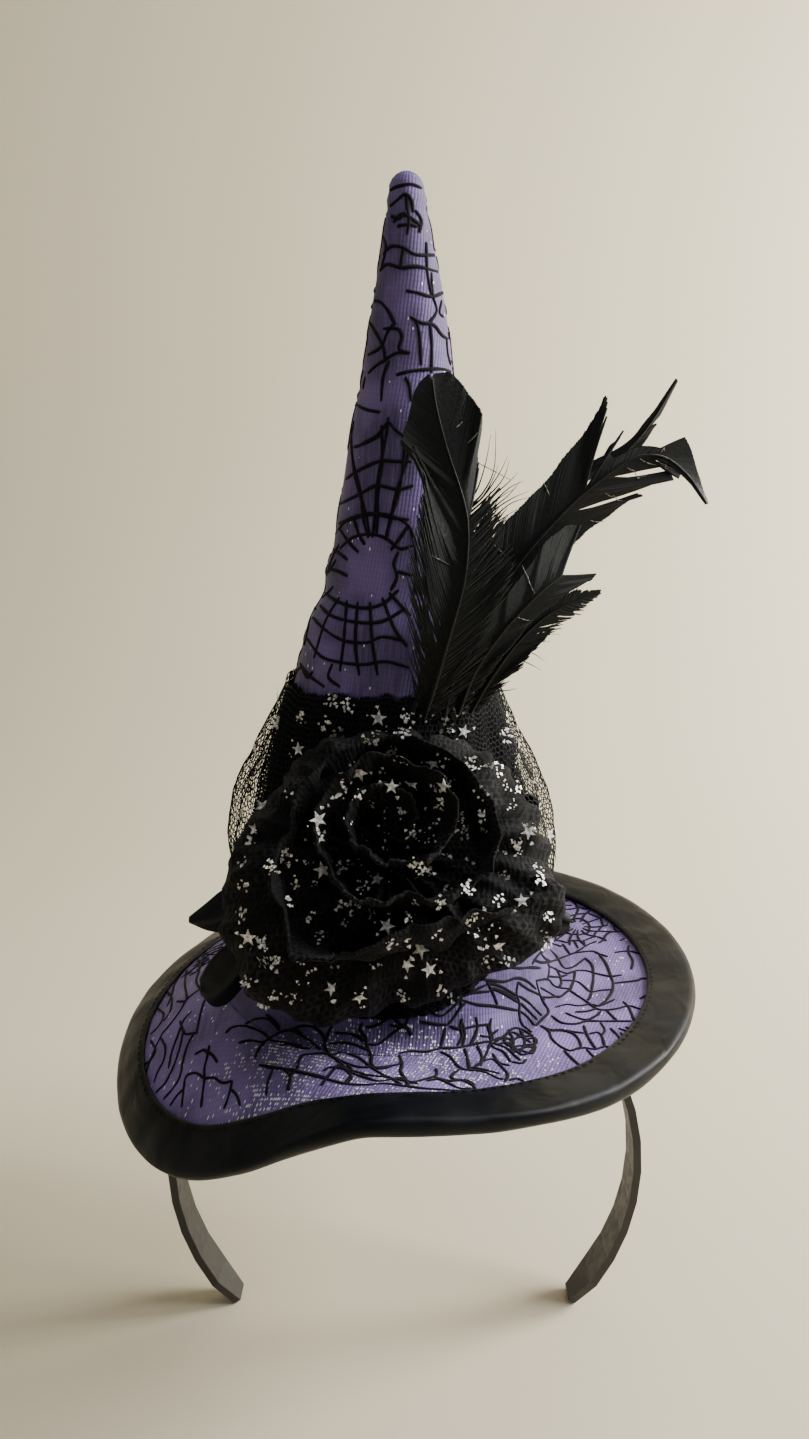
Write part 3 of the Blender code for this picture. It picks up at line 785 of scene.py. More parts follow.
@dataclass(frozen=True)
class CrapeNet:
    """Several plies of fine black net: matt, with crossing knit lines that show lighter in cloudy
    patches.
    """

    name: str
    shade: tuple = (0.0030, 0.0030, 0.0034, 1.0)
    line: tuple = (0.0260, 0.0258, 0.0275, 1.0)

    def material(self) -> Material:
        """Return the material."""
        made, nodes, shader = start_finish(self.name, Roughness=0.85, Sheen_Weight=0.02,
                                           Specular_IOR_Level=0.12)
        place = cloth_place(nodes)
        knit = nodes.group(knit_group(), Place=place, Rib=1.3, Course=1.0, Wander=1.6)
        mesh = nodes.group(hex_net_group(), Place=place, Pitch=1.7, Thread=0.6)
        share = nodes.times(nodes.times(knit, mesh),
                            nodes.ramp(nodes.noise(place, 0.09, 3.0), 0.38, 0.68, 0.12, 1.0))
        nodes.feed(shader.inputs["Base Color"], nodes.blend(share, self.shade, self.line))
        bump(nodes, shader, nodes.plus(nodes.times(mesh, 0.4), knit), 0.25, 0.7)
        return made


# The crown

@dataclass
class Crown:
    """The tall leaning cone of purple cloth, hollow, with a blunt rounded tip."""

    wall: float = 2.0
    tip: float = 228.0
    dome_from: float = 223.0
    foot_lift: float = 1.3
    # Height and how far the turned-out foot stands off the cone
    flare: tuple = ((1.08, 4.6), (1.2, 4.5), (1.4, 2.8), (1.9, 1.2), (2.6, 0.4))
    sides: int = 132
    row_step: float = 2.2
    inside_top: float = 216.0
    # Height, radius and sideways lean of the outside
    sections: tuple = (
        (0, 50, -2), (4, 47, -2.2), (12, 44.5, -2.7), (30, 40.6, -3.5), (60, 33.8, -4.1),
        (90, 28.9, -3.5), (108, 25.3, -2.4), (122, 21.6, -0.7), (137, 19, 0), (162, 15.1, 0.3),
        (175, 12.8, 0.9), (198, 9.3, 1.1), (212, 6.6, 0.7), (222.5, 4.7, 0.5),
    )
    # Height, angle, depth, and reach in height and in degrees, of dents and ridges in the cloth
    folds: tuple = (
        (117, 178, -1.3, 5, 55), (124, 200, 0.7, 4, 50), (110, 215, 0.5, 4, 40),
        (131, 170, -0.5, 4, 45), (119, 60, -0.6, 6, 60), (150, 300, -0.35, 8, 30),
        (170, 120, -0.4, 9, 40), (221, 0, 0.45, 1.4, 400), (218, 0, -0.35, 1.8, 400),
    )

    def section(self, height: float) -> tuple[float, float]:
        """Return the radius and the sideways lean at a height."""
        radius, lean = row_at(self.sections, height)
        return radius, lean

    def dent(self, height: float, angle: float) -> float:
        """Return how far the cloth lies off the plain cone."""
        off = 0.0
        for top, turn, depth, tall, wide in self.folds:
            off += depth * math.exp(-((height - top) / tall) ** 2
                                    - (degrees_off(angle, turn) / wide) ** 2)
        # Soft crumples that fade out below
        fade = min(max((height - 92.0) / 12.0, 0.0), 1.0)
        crumple = 0.28 * crinkle(polar(22.0, angle, height), 17.0, 3.0)
        return off + crumple * (fade * fade * (3.0 - 2.0 * fade))

    def skin(self, height: float, angle: float, out: float = 0.0) -> Vector:
        """Return a point on the outside, or a distance off it."""
        radius, lean = self.section(height)
        return polar(radius + (self.dent(height, angle) + out), angle, height, lean)

    def build(self, finish: Material) -> Object:
        """Build the cone from its inside top, down to the foot and up over the tip."""
        angles = [math.radians(90.0 + 360.0 * k / self.sides) for k in range(self.sides)]
        rise = self.dome_from - self.foot_lift
        steps = round(rise / self.row_step)
        heights = [self.foot_lift + rise * k / steps for k in range(steps + 1)]
        rows: list[list[Vector]] = []
        # Radius and height, by which the flat cloth is measured
        marks: list[tuple[float, float]] = []

        def ring(centre: float, height: float, reach: float, mark: tuple[float, float]) -> None:
            """Add a plain round row, where the cloth isn't dented."""
            rows.append([Vector((centre, 0.0, height)) + polar(1.0, a) * reach for a in angles])
            marks.append(mark)

        inside = [h for h in reversed(heights[::3]) if h < self.inside_top]
        for height in (self.tip - 3 * self.wall, *inside[:-1], self.flare[0][0]):
            radius, lean = self.section(height)
            near = radius - self.wall if height < self.inside_top else 0.0
            ring(lean, height, near, (max(near, 0.1), -height))
        for height, out in (*self.flare, *((h, 0.0) for h in heights[1:])):
            rows.append([self.skin(height, a, out) for a in angles])
            marks.append((self.section(height)[0] + out, height - out))
        radius, lean = self.section(self.dome_from)
        dented = max(radius + self.dent(self.dome_from, 0.0), 0.0)
        for turn in (0.2, 0.4, 0.6, 0.78, 0.92, 1.0):
            part = turn * math.pi / 2
            height = self.dome_from + (self.tip - self.dome_from) * math.sin(part)
            ring(lean, height, dented * math.cos(part), (radius, height))

        def flat(i: int, j: int) -> tuple[float, float]:
            """Return the cloth's place, counted round from the front."""
            reach, height = marks[i]
            return (j / self.sides - 0.5) * TURN * reach, height

        cloth = Cloth()
        cloth.grid(rows, flat, around=True)
        item = cloth.make("crown_cone", finish, weld=0.01, outwards=True)
        return settle(item, "crown", slot="crown_cloth")


# The brim and its binding

@dataclass
class Brim:
    """The wavy brim, whose edge droops on the wearer's front left."""

    opening: float = 42.0
    flat_to: float = 50.0
    reach: float = 86.0
    wall: float = 2.0
    sides: int = 300
    # Angle from +X, height of the edge, and how late the droop starts
    edge: tuple = (
        (-166, -26, 1.9), (-148, -29.3, 2.1), (-132, -26, 2.2), (-118, -16.5, 2.6),
        (-105, -4.6, 2.4), (-95, 1.2, 1.8), (-75, 1, 1.5), (-50, -0.8, 1.5), (-20, 2, 1.4),
        (5, 4.4, 1.3), (40, 5.8, 1.2), (75, 4, 1.2), (110, -3, 1.2), (145, -13.3, 1.2),
        (170, -19, 1.3),
    )
    profile_steps: int = 48

    def __post_init__(self) -> None:
        """Repeat the edge a turn before and a turn after, and keep room for worked-out profiles."""
        self.around = full_circle(self.edge)
        self.profiles: dict[float, list[Vector]] = {}

    def height(self, radius: float, angle: float) -> float:
        """Return the height of the brim's middle at a place."""
        edge, curl = row_at(self.around, math.degrees(math.atan2(math.sin(angle), math.cos(angle))))
        part = max(radius - self.flat_to, 0.0) / (self.reach - self.flat_to)
        return edge * part ** curl

    def profile(self, angle: float) -> list[Vector]:
        """Return the middle line from the edge inwards, as (radius, height)."""
        if angle not in self.profiles:
            radii = [self.reach + (self.opening - self.reach) * k / self.profile_steps
                     for k in range(self.profile_steps + 1)]
            self.profiles[angle] = [Vector((radius, self.height(radius, angle)))
                                    for radius in radii]
        return self.profiles[angle]

    def length(self, angle: float) -> float:
        """Return the length of the middle line at an angle."""
        line = self.profile(angle)
        return sum((b - a).length for a, b in zip(line, line[1:]))

    def point(self, angle: float, inward: float, offset: float) -> Vector:
        """Return a point at a distance in from the edge and an offset up from the middle."""
        line = self.profile(angle)
        left = inward
        near, far = line[0], line[1]
        for near, far in zip(line, line[1:]):
            length = (far - near).length
            if left <= length or far is line[-1]:
                break
            left -= length
        along = (near - far).normalized()
        place = near - along * left
        return polar(place.x - along.y * offset, angle, place.y + along.x * offset)

    def build(self, finish: Material) -> Object:
        """Build the brim as a thin closed ring."""
        depths = [1.2 + 2.6 * k for k in range(5)]
        rows = []
        inner = 14
        for side in (1.0, -1.0):
            face = []
            for k in range(inner + len(depths) + 1):
                row = []
                for turn in range(self.sides):
                    angle = TURN * turn / self.sides
                    rest = self.length(angle) - depths[-1]
                    depth = (depths[-1] + rest * (inner - k) / inner if k <= inner
                             else depths[inner + len(depths) - k])
                    point = self.point(angle, depth, side * self.wall / 2)
                    lift = 0.18 * crinkle(point, 9.0, 7.0) if k <= inner - 3 else 0.0
                    row.append(point + Vector((0.0, 0.0, lift)))
                face.append(row)
            rows += face if side > 0 else face[::-1]
        rows.append(rows[0])
        cloth = Cloth()
        cloth.grid(rows, lambda i, j: (rows[i][j % self.sides].x, rows[i][j % self.sides].y),
                   around=True)
        item = cloth.make("brim_cloth", finish, weld=0.01, outwards=True)
        return settle(item, "brim", slot="brim_cloth")


@dataclass
class Binding:
    """The wide black satin folded round the brim's edge, with soft puckers and a sewn line."""

    brim: Brim
    reach: float = 12.5
    cloth: float = 1.0
    gap: float = 0.3
    roll: float = 2.4
    sides: int = 540
    pucker: float = 0.42

    def outline(self) -> list[tuple[float, float, float]]:
        """Return the section as (depth in from the edge, offset, share of the puckers)."""
        inside = self.brim.wall / 2 + self.gap
        outside = inside + self.cloth
        end = self.roll / 2 - self.gap
        top = [(self.reach, outside - 0.35, 0.2), (self.reach - 0.5, outside - 0.05, 0.5)]
        steps = 9
        for k in range(steps + 1):
            depth = self.reach - 1.4 + (end - self.reach + 1.4) * k / steps
            swell = 0.25 * math.sin(math.pi * k / steps)
            top.append((depth, outside + swell, 1.0))
        fold = [(-0.45, outside * 0.88, 0.8), (-0.95, outside * 0.5, 0.5)]
        nose = [(-self.roll / 2, 0.0, 0.4)]
        under = [(depth, -offset, share) for depth, offset, share in reversed(top + fold)]
        inner = [(self.reach, -inside, 0.0), (self.reach / 2, -inside, 0.0), (end, -inside, 0.0),
                 (end, inside, 0.0), (self.reach / 2, inside, 0.0), (self.reach, inside, 0.0)]
        return top + fold + nose + under + inner

    def build(self, finish: Material) -> Object:
        """Build the folded satin."""
        outline = self.outline()
        rows = []
        for depth, offset, share in outline:
            row = []
            for turn in range(self.sides):
                angle = TURN * turn / self.sides
                fine = crinkle(polar(self.brim.reach, angle, depth * 0.5), 9.0, 11.0)
                broad = crinkle(polar(self.brim.reach, angle, depth), 17.0, 5.0)
                lift = (fine * 0.7 + broad * 0.9) * self.pucker * share
                row.append(self.brim.point(angle, depth, offset + math.copysign(lift, offset)
                                           * math.copysign(1.0, lift)))
            rows.append(row)
        rows.append(rows[0])
        lengths = [0.0]
        for a, b in zip(outline, outline[1:]):
            lengths.append(lengths[-1] + math.hypot(a[0] - b[0], a[1] - b[1]))
        lengths.append(lengths[-1] + 0.7)
        cloth = Cloth()
        cloth.grid(rows, lambda i, j: (TURN * self.brim.reach * j / self.sides, lengths[i]),
                   around=True)
        item = cloth.make("binding_fold", finish, weld=0.01, outwards=True)
        return settle(item, "brim_binding", slot="binding_satin")

    def stitches(self, finish: Material) -> Object:
        """Sew the binding's inner edge with short slanting stitches, above and below."""
        thread = Strands()
        count = 190
        outside = self.brim.wall / 2 + self.gap + self.cloth
        for side in (1.0, -1.0):
            for k in range(count):
                line = []
                for part in (0.0, 0.5, 1.0):
                    angle = TURN * (k + 0.18 + 0.5 * part) / count
                    sunk = 0.22 * (2 * part - 1.0) ** 2
                    line.append(self.brim.point(angle, self.reach - 1.15 - 0.5 * part,
                                                side * (outside + 0.22 - sunk)))
                thread.add(line, [Vector((0.0, 0.0, side))] * 3, [0.13, 0.17, 0.13])
        item = thread.sweep("binding_stitches", finish, 5, 0.8)
        return settle(item, slot="binding_satin")


# The net gathered round the crown

@dataclass
class NetBand:
    """Black net gathered round the foot of the crown, with a puff on either side."""

    crown: Crown
    clearance: float = 0.9
    wall: float = 1.0
    gathers: int = 14
    girth: float = 430.0
    in_front: float = 0.4
    # Height, how far it stands off at the sides, and depth of the gathers
    puff: tuple = (
        (9, 0.4, 0.1), (16, 2.6, 0.3), (26, 5, 0.5), (37, 8, 0.7), (48, 10.2, 0.8), (59, 10.4, 0.9),
        (70, 7.2, 0.9), (80, 3.6, 0.8), (90, 0.8, 0.3),
    )
    # In front on the right its lower edge rises: direction, how wide, and how much
    rise: tuple = (-36.0, 27.0, 14.0)
    columns: int = 150
    thread_rows: int = 50
    thread: float = 0.19
    # Where the rosette hides the net: half angle, lowest and highest row height
    hidden: tuple = (33.0, 16.0, 74.0)

    def radius(self, height: float, angle: float, share: float = 1.0) -> float:
        """Return the radius of the net's middle, or of a layer at a share of its stand-off."""
        stand_off, ruffle = row_at(self.puff, height)
        side = math.cos(angle) ** 2
        gather = ruffle * math.cos(self.gathers * angle) * (
            self.in_front + (1 - self.in_front) * side)
        return (self.crown.section(height)[0] + self.clearance + self.wall / 2
                + stand_off * side * share + gather)

    def point(self, height: float, angle: float, share: float = 1.0, out: float = 0.0) -> Vector:
        """Return a point of the net, crumpled a little where it stands off the crown."""
        radius = self.radius(height, angle, share)
        lean = self.crown.section(height)[1]
        place = polar(radius, angle, height)
        loose = min(row_at(self.puff, height)[0] / 4.0, 1.0) * (0.35 + 0.65 * math.cos(angle) ** 2)
        radius += out + loose * (0.8 * crinkle(place, 8.0, 2.0 + share)
                                 + 0.35 * crinkle(place, 3.5, 9.0 + share))
        return polar(radius, angle, height, lean)

    def edges(self, angle: float, low: float, high: float) -> tuple[float, float]:
        """Return the heights of the lower and the upper edge, which isn't quite level."""
        middle, wide, most = self.rise
        lift = most * math.exp(-(degrees_off(angle, middle) / wide) ** 2)
        place = polar(30.0, angle)
        ragged = 3.2 * crinkle(place, 9.0, 51.0) + 1.2 * crinkle(place, 3.5, 53.0)
        return low + lift, high + 1.0 + ragged

    def shell(self) -> tuple[list[Vector], list[tuple[int, ...]]]:
        """Return the net's outside as points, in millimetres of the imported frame, and faces."""
        rows, sides = 42, 120
        low, high = self.puff[0][0], self.puff[-1][0]
        net = Cloth()
        net.grid([[self.point(low + (high - low) * i / rows, TURN * j / sides, 1.0, 0.3) + FOOT
                   for j in range(sides)] for i in range(rows + 1)],
                 lambda i, j: (0.0, 0.0), around=True)
        return net.points, net.faces

    def build_threads(self, finish: Material) -> Object:
        """Knot the outermost layer thread by thread, in six-sided holes."""
        low, high = self.puff[0][0], self.puff[-1][0]
        turn, bottom, top = self.hidden
        spans = 2 * self.columns

        def node(row: int, column: int) -> Vector | None:
            """Return a knot, or None where the rosette hides it."""
            part = (row + (0.3 if (row + column) % 2 == 0 else -0.03)) / self.thread_rows
            angle = TURN * column / spans
            start, end = self.edges(angle, low, high)
            height = start + (end - start) * min(max(part, 0.0), 1.0)
            if abs(degrees_off(angle, -90.0)) < turn and bottom < height < top:
                return None
            return self.point(height, angle)

        threads = Strands()
        for row in range(self.thread_rows + 1):
            lines = list(runs([node(row, column % spans) for column in range(spans + 1)]))
            if row < self.thread_rows:
                for column in range(row % 2, spans, 2):
                    lines += runs([node(row, column), node(row + 1, column)])
            for line in lines:
                threads.add(line, [p.normalized() for p in line], [self.thread] * len(line))
        item = threads.sweep("net_puff_threads", finish, 3, 0.9, caps=False)
        return settle(item, "net_band", slot="net")

    def build_layer(self, name: str, share: float, finish: Material, low: float,
                    high: float, folds: int, deep: float
                    ) -> Object:
        """Build one gathered layer of net under the outer one.

        Args:
            name: The piece's name.
            share: How much of the puff's stand-off it takes.
            finish: Its material.
            low: The height of its foot.
            high: The height of its upper edge.
            folds: How many gathers go round.
            deep: The depth of the gathers.

        Returns:
            The object.
        """
        sides = folds * 8
        steps = 44
        rows = []
        for i in range(steps + 1):
            row = []
            for j in range(sides):
                angle = TURN * j / sides
                start, end = self.edges(angle, low, high)
                height = start + (end - start) * i / steps
                pleat = math.sin(folds * angle + 2.2 * math.sin(5 * angle) + height * 0.03)
                row.append(self.point(height, angle, share, deep * (pleat - 1.0) * 0.5))
            rows.append(row)
        cloth = Cloth()
        cloth.grid(rows, lambda i, j: (self.girth * j / sides, (high - low) * i / steps * 1.05),
                   around=True)
        item = cloth.make(name, finish)
        return settle(item, slot="net")


# The rosette

@dataclass
class Rosette:
    """A strip of folded black net wound in a crumpled spiral over a ruffled flounce."""

    x: float = -3.0
    stand: float = 41.0
    height: float = 48.5
    tilt: float = 28.0
    wall: float = 0.66
    turns: float = 3.2
    end_angle: float = 350.0
    crumple: float = 2.2
    wide: float = 27.0
    steps: int = 700
    sides: int = 320
    # Half the stretch of turn over which the strip's direction is taken
    near: float = 0.004
    # Turn, radius at the foot, radius at the lip, depth, and shift to the right and up
    petals: tuple = (
        (0.00, 2, 3, 20, -1, 7), (0.20, 3, 6, 22, -1, 7), (0.40, 4, 8.5, 24, -1, 7),
        (0.60, 5, 9.5, 25, -1.5, 6.5), (0.80, 6, 8.5, 25.5, -1.5, 6), (1.00, 7, 8, 26, -1, 5.5),
        (1.20, 8.5, 13, 26, 0, 5), (1.40, 10.5, 18.5, 25.5, 0, 4.5), (1.60, 12.5, 19.5, 25, 0, 4),
        (1.80, 14.5, 16.5, 25.5, 0, 3), (2.00, 15.5, 13.5, 27, 0, 2), (2.10, 17, 17, 26.5, 0, 1.5),
        (2.20, 18.5, 24, 25.5, 0, 1), (2.30, 20, 27.5, 24, 0, 0.5), (2.45, 22, 29, 22, 0, 0),
        (2.60, 23.5, 27.5, 23, 0, 0), (2.72, 24.5, 26.5, 24.5, 0, 0), (2.80, 25.5, 29.5, 25, 0, 0),
        (2.86, 26.5, 34, 24.5, 0, 0), (2.92, 26.5, 24, 25.5, 0, 0), (3.00, 26, 19, 26, 0, 0),
        (3.08, 27.5, 20.5, 24.5, 0, 0), (3.15, 30, 28, 21, 0, 0), (3.20, 32, 39, 15, 0, 0),
    )
    # Angle from the right, and radius of the flounce's edge
    hem: tuple = (
        (-157, 46.5), (-143, 49), (-121, 44.5), (-102, 38), (-86, 34.5), (-69, 34), (-51, 35.5),
        (-34, 40), (-23, 44), (-12, 44), (0, 42.5), (45, 38), (90, 36), (135, 37), (175, 40.5),
    )
    # Share of the flounce's radius, how far out it stands, and share of the crumples
    flounce: tuple = (
        (0, 15, 0.8), (0.1, 15.5, 0.9), (0.2, 16, 1), (0.3, 16, 1), (0.4, 15.5, 1), (0.48, 15, 1),
        (0.56, 14.5, 1), (0.64, 14, 1), (0.72, 13.2, 1), (0.81, 11.4, 1), (0.89, 8.4, 1),
        (0.95, 5, 1), (0.99, 1.5, 0.9), (1, -1.5, 0.8), (0.985, -4.5, 0.8), (0.94, -7.5, 0.7),
        (0.86, -10, 0.5), (0.74, -11.6, 0.2), (0.5, -12, 0), (0, -12, 0),
    )

    def place(self, right: float, up: float, out: float) -> Vector:
        """Return a point from the rosette's own right, up and outward distances."""
        tilt = math.radians(self.tilt)
        return Vector((self.x + right,
                       -self.stand + math.sin(tilt) * up - math.cos(tilt) * out,
                       self.height + math.cos(tilt) * up + math.sin(tilt) * out))

    def petal(self, turn: float, level: float) -> Vector:
        """Return a point of the strip's middle: a place along the spiral and up its width."""
        foot, lip, depth, shift_u, shift_v = row_at(self.petals, turn)
        angle = math.radians(self.end_angle) - (self.turns - turn) * TURN
        loose = min(1.0, 0.4 + turn / 2.0) * max(level, 0.0) ** 1.5
        spot = polar(12.0, angle, 9.0 * turn)
        wave = 1.5 * crinkle(spot, 7.0, 31.0) + 0.9 * crinkle(spot, 3.2, 37.0)
        radius = foot + (lip - foot) * (0.45 * level + 0.55 * level ** 3) + wave * loose
        return self.place(shift_u + radius * math.cos(angle), shift_v + radius * math.sin(angle),
                          (depth + 1.1 * wave * loose) * level - 0.6)

    def build(self, finish: Material) -> Object:
        """Build the wound strip with its soft folded lip and crumpled face."""
        levels = [k / 15 for k in range(16)]
        outline = ([(level, 0.5) for level in levels]
                   + [(1.022, 0.32), (1.032, 0.0), (1.022, -0.32)]
                   + [(level, -0.5) for level in reversed(levels)])
        columns = []
        for k in range(self.steps + 1):
            turn = self.turns * k / self.steps
            before = max(turn - self.near, 0.0)
            after = min(turn + self.near, self.turns)
            close = min(1.0, 0.25 + 14.0 * (self.turns - turn))
            column = []
            for level, side in outline:
                here = self.petal(turn, level)
                along = self.petal(after, level) - self.petal(before, level)
                rise = self.petal(turn, level) - self.petal(turn, level - 0.02)
                normal = along.cross(rise).normalized()
                drag = Vector((here.x, here.y, here.z * 0.4))
                fold = 0.5 - abs(crinkle(drag, 6.5, 1.0)) * 1.6
                fine = 0.35 * crinkle(here, 2.6, 6.0) + 0.16 * math.sin(170.0 * turn)
                thick = self.wall * (0.8 + 0.7 * level ** 4) * close
                off = side * thick + (fold * self.crumple + fine) * min(1.0, 3.0 * level)
                column.append(here + normal * off)
            columns.append(column)
        first, last = ([sum(ends, Vector()) / len(ends)] * len(ends)
                       for ends in (columns[0], columns[-1]))
        columns = [first, *columns, last]
        travelled = [0.0]
        for a, b in zip(columns, columns[1:]):
            travelled.append(travelled[-1] + (a[13] - b[13]).length)
        widths = [level * self.wide if side > 0 else (2.0 - level) * self.wide
                  for level, side in outline] + [2.0 * self.wide]
        cloth = Cloth()
        cloth.grid(columns, lambda i, j: (travelled[i], widths[j]), around=True)
        item = cloth.make("rosette_strip", finish, weld=0.005, outwards=True)
        return settle(item, "net_rose", slot="rose_net")

    def build_flounce(self, finish: Material) -> Object:
        """Build the ruffled flounce of net round and under the strip."""
        sides = self.sides
        hem = full_circle(self.hem)
        rings, marks = [], []
        for share, out, loose in self.flounce:
            ring = []
            for j in range(sides):
                angle = TURN * j / sides
                radius = row_at(hem, math.degrees(angle))[0]
                ray = polar(1.0, angle)
                spot = ray * 15.0 + Vector((0.0, 0.0, share * 6.0))
                ridge = 0.5 - 1.5 * abs(crinkle(spot, 3.8, 8.0))
                fine = crinkle(ray * radius * share, 3.4, 12.0)
                crease = 0.5 - 1.5 * abs(crinkle(ray * 7.0 + Vector((0.0, 0.0, share * 26.0)),
                                                 4.6, 15.0))
                swell = (3.8 * ridge + 4.0 * crease + 1.7 * fine) * loose
                reach = radius * share + (0.8 * swell if share > 0.8 else 0.0)
                ring.append(self.place(reach * ray.x, reach * ray.y, out + swell * 0.8))
            rings.append(ring)
            marks.append(share * 40.0)
        cloth = Cloth()
        cloth.grid(rings, lambda i, j: (marks[i] * math.cos(TURN * j / sides),
                                        marks[i] * math.sin(TURN * j / sides)), around=True)
        item = cloth.make("rosette_flounce", finish, weld=0.01, outwards=True)
        return settle(item, slot="rose_net")


# The satin bow behind the rosette

@dataclass
class SatinBow:
    """Short loops and tails of black satin that show at the rosette's left and right."""

    thick: float = 0.5
    along: int = 36
    across: int = 24
    # For each: middle of the ribbon, its width and how far it bulges
    ribbons: dict = field(default_factory=lambda: {
        "satin_loop_left": (
            (-38.9, -37, 35, 9, 1), (-43, -37.5, 35.5, 12, 2), (-48, -37, 34.5, 12.5, 2.4),
            (-53, -36, 32.5, 8.5, 1.6), (-58.5, -35, 31, 1.6, 0.3)),
        "satin_tail_left": (
            (-36.7, -43.5, 30, 7, 0.8), (-42, -42.5, 24, 14, 1.8), (-47.5, -40.5, 18, 17, 2.4),
            (-52, -39, 14.5, 14, 2), (-55.5, -38, 13, 5, 0.6)),
        "satin_loop_right": (
            (33.4, -4, 50.5, 10, 0.4), (36, -5, 52, 12, 0.8), (38, -5.5, 53.5, 8, 0.6),
            (39.6, -5.5, 54.5, 2, 0.2)),
        "satin_tail_right": (
            (31.8, -40.5, 33.5, 6, 0.6), (37, -40, 33, 8.5, 1.2), (41, -38.5, 32, 8, 1),
            (44.5, -37, 31, 4.5, 0.4)),
    })

    def build(self, finish: Material) -> list[Object]:
        """Build every loop and tail as a thin folded ribbon."""
        made = []
        for seed, (node, stations) in enumerate(self.ribbons.items()):
            table = tuple((k / (len(stations) - 1), *row) for k, row in enumerate(stations))
            rows = []
            for i in range(self.along + 1):
                x, y, height, width, bulge = row_at(table, i / self.along)
                row = []
                for j in range(self.across + 1):
                    across = j / self.across - 0.5
                    fold = 0.5 * math.sin(9.0 * across + 3.0 * i / self.along + seed)
                    front = Vector((x, y, height + width * across))
                    out = bulge * (1.0 - (2.0 * across) ** 2) + fold * min(1.0, width / 8.0)
                    out += 0.35 * crinkle(front, 5.0, seed + 20.0)
                    row.append(front - Vector((0.0, out, 0.0)))
                rows.append(row)
            cloth = Cloth()
            cloth.grid(rows, lambda i, j: (i * 0.6 + 40.0 * seed, j * 0.6))
            item = cloth.make(node.replace("satin_", "bow_"), finish)
            wall = item.modifiers.new("Wall", "SOLIDIFY")
            wall.thickness = self.thick * MM
            wall.offset = 0.0
            long = math.dist(stations[0][:3], stations[-1][:3]) * MM
            made.append(settle(item, node, slot="bow_satin"))
        return made


# The feathers

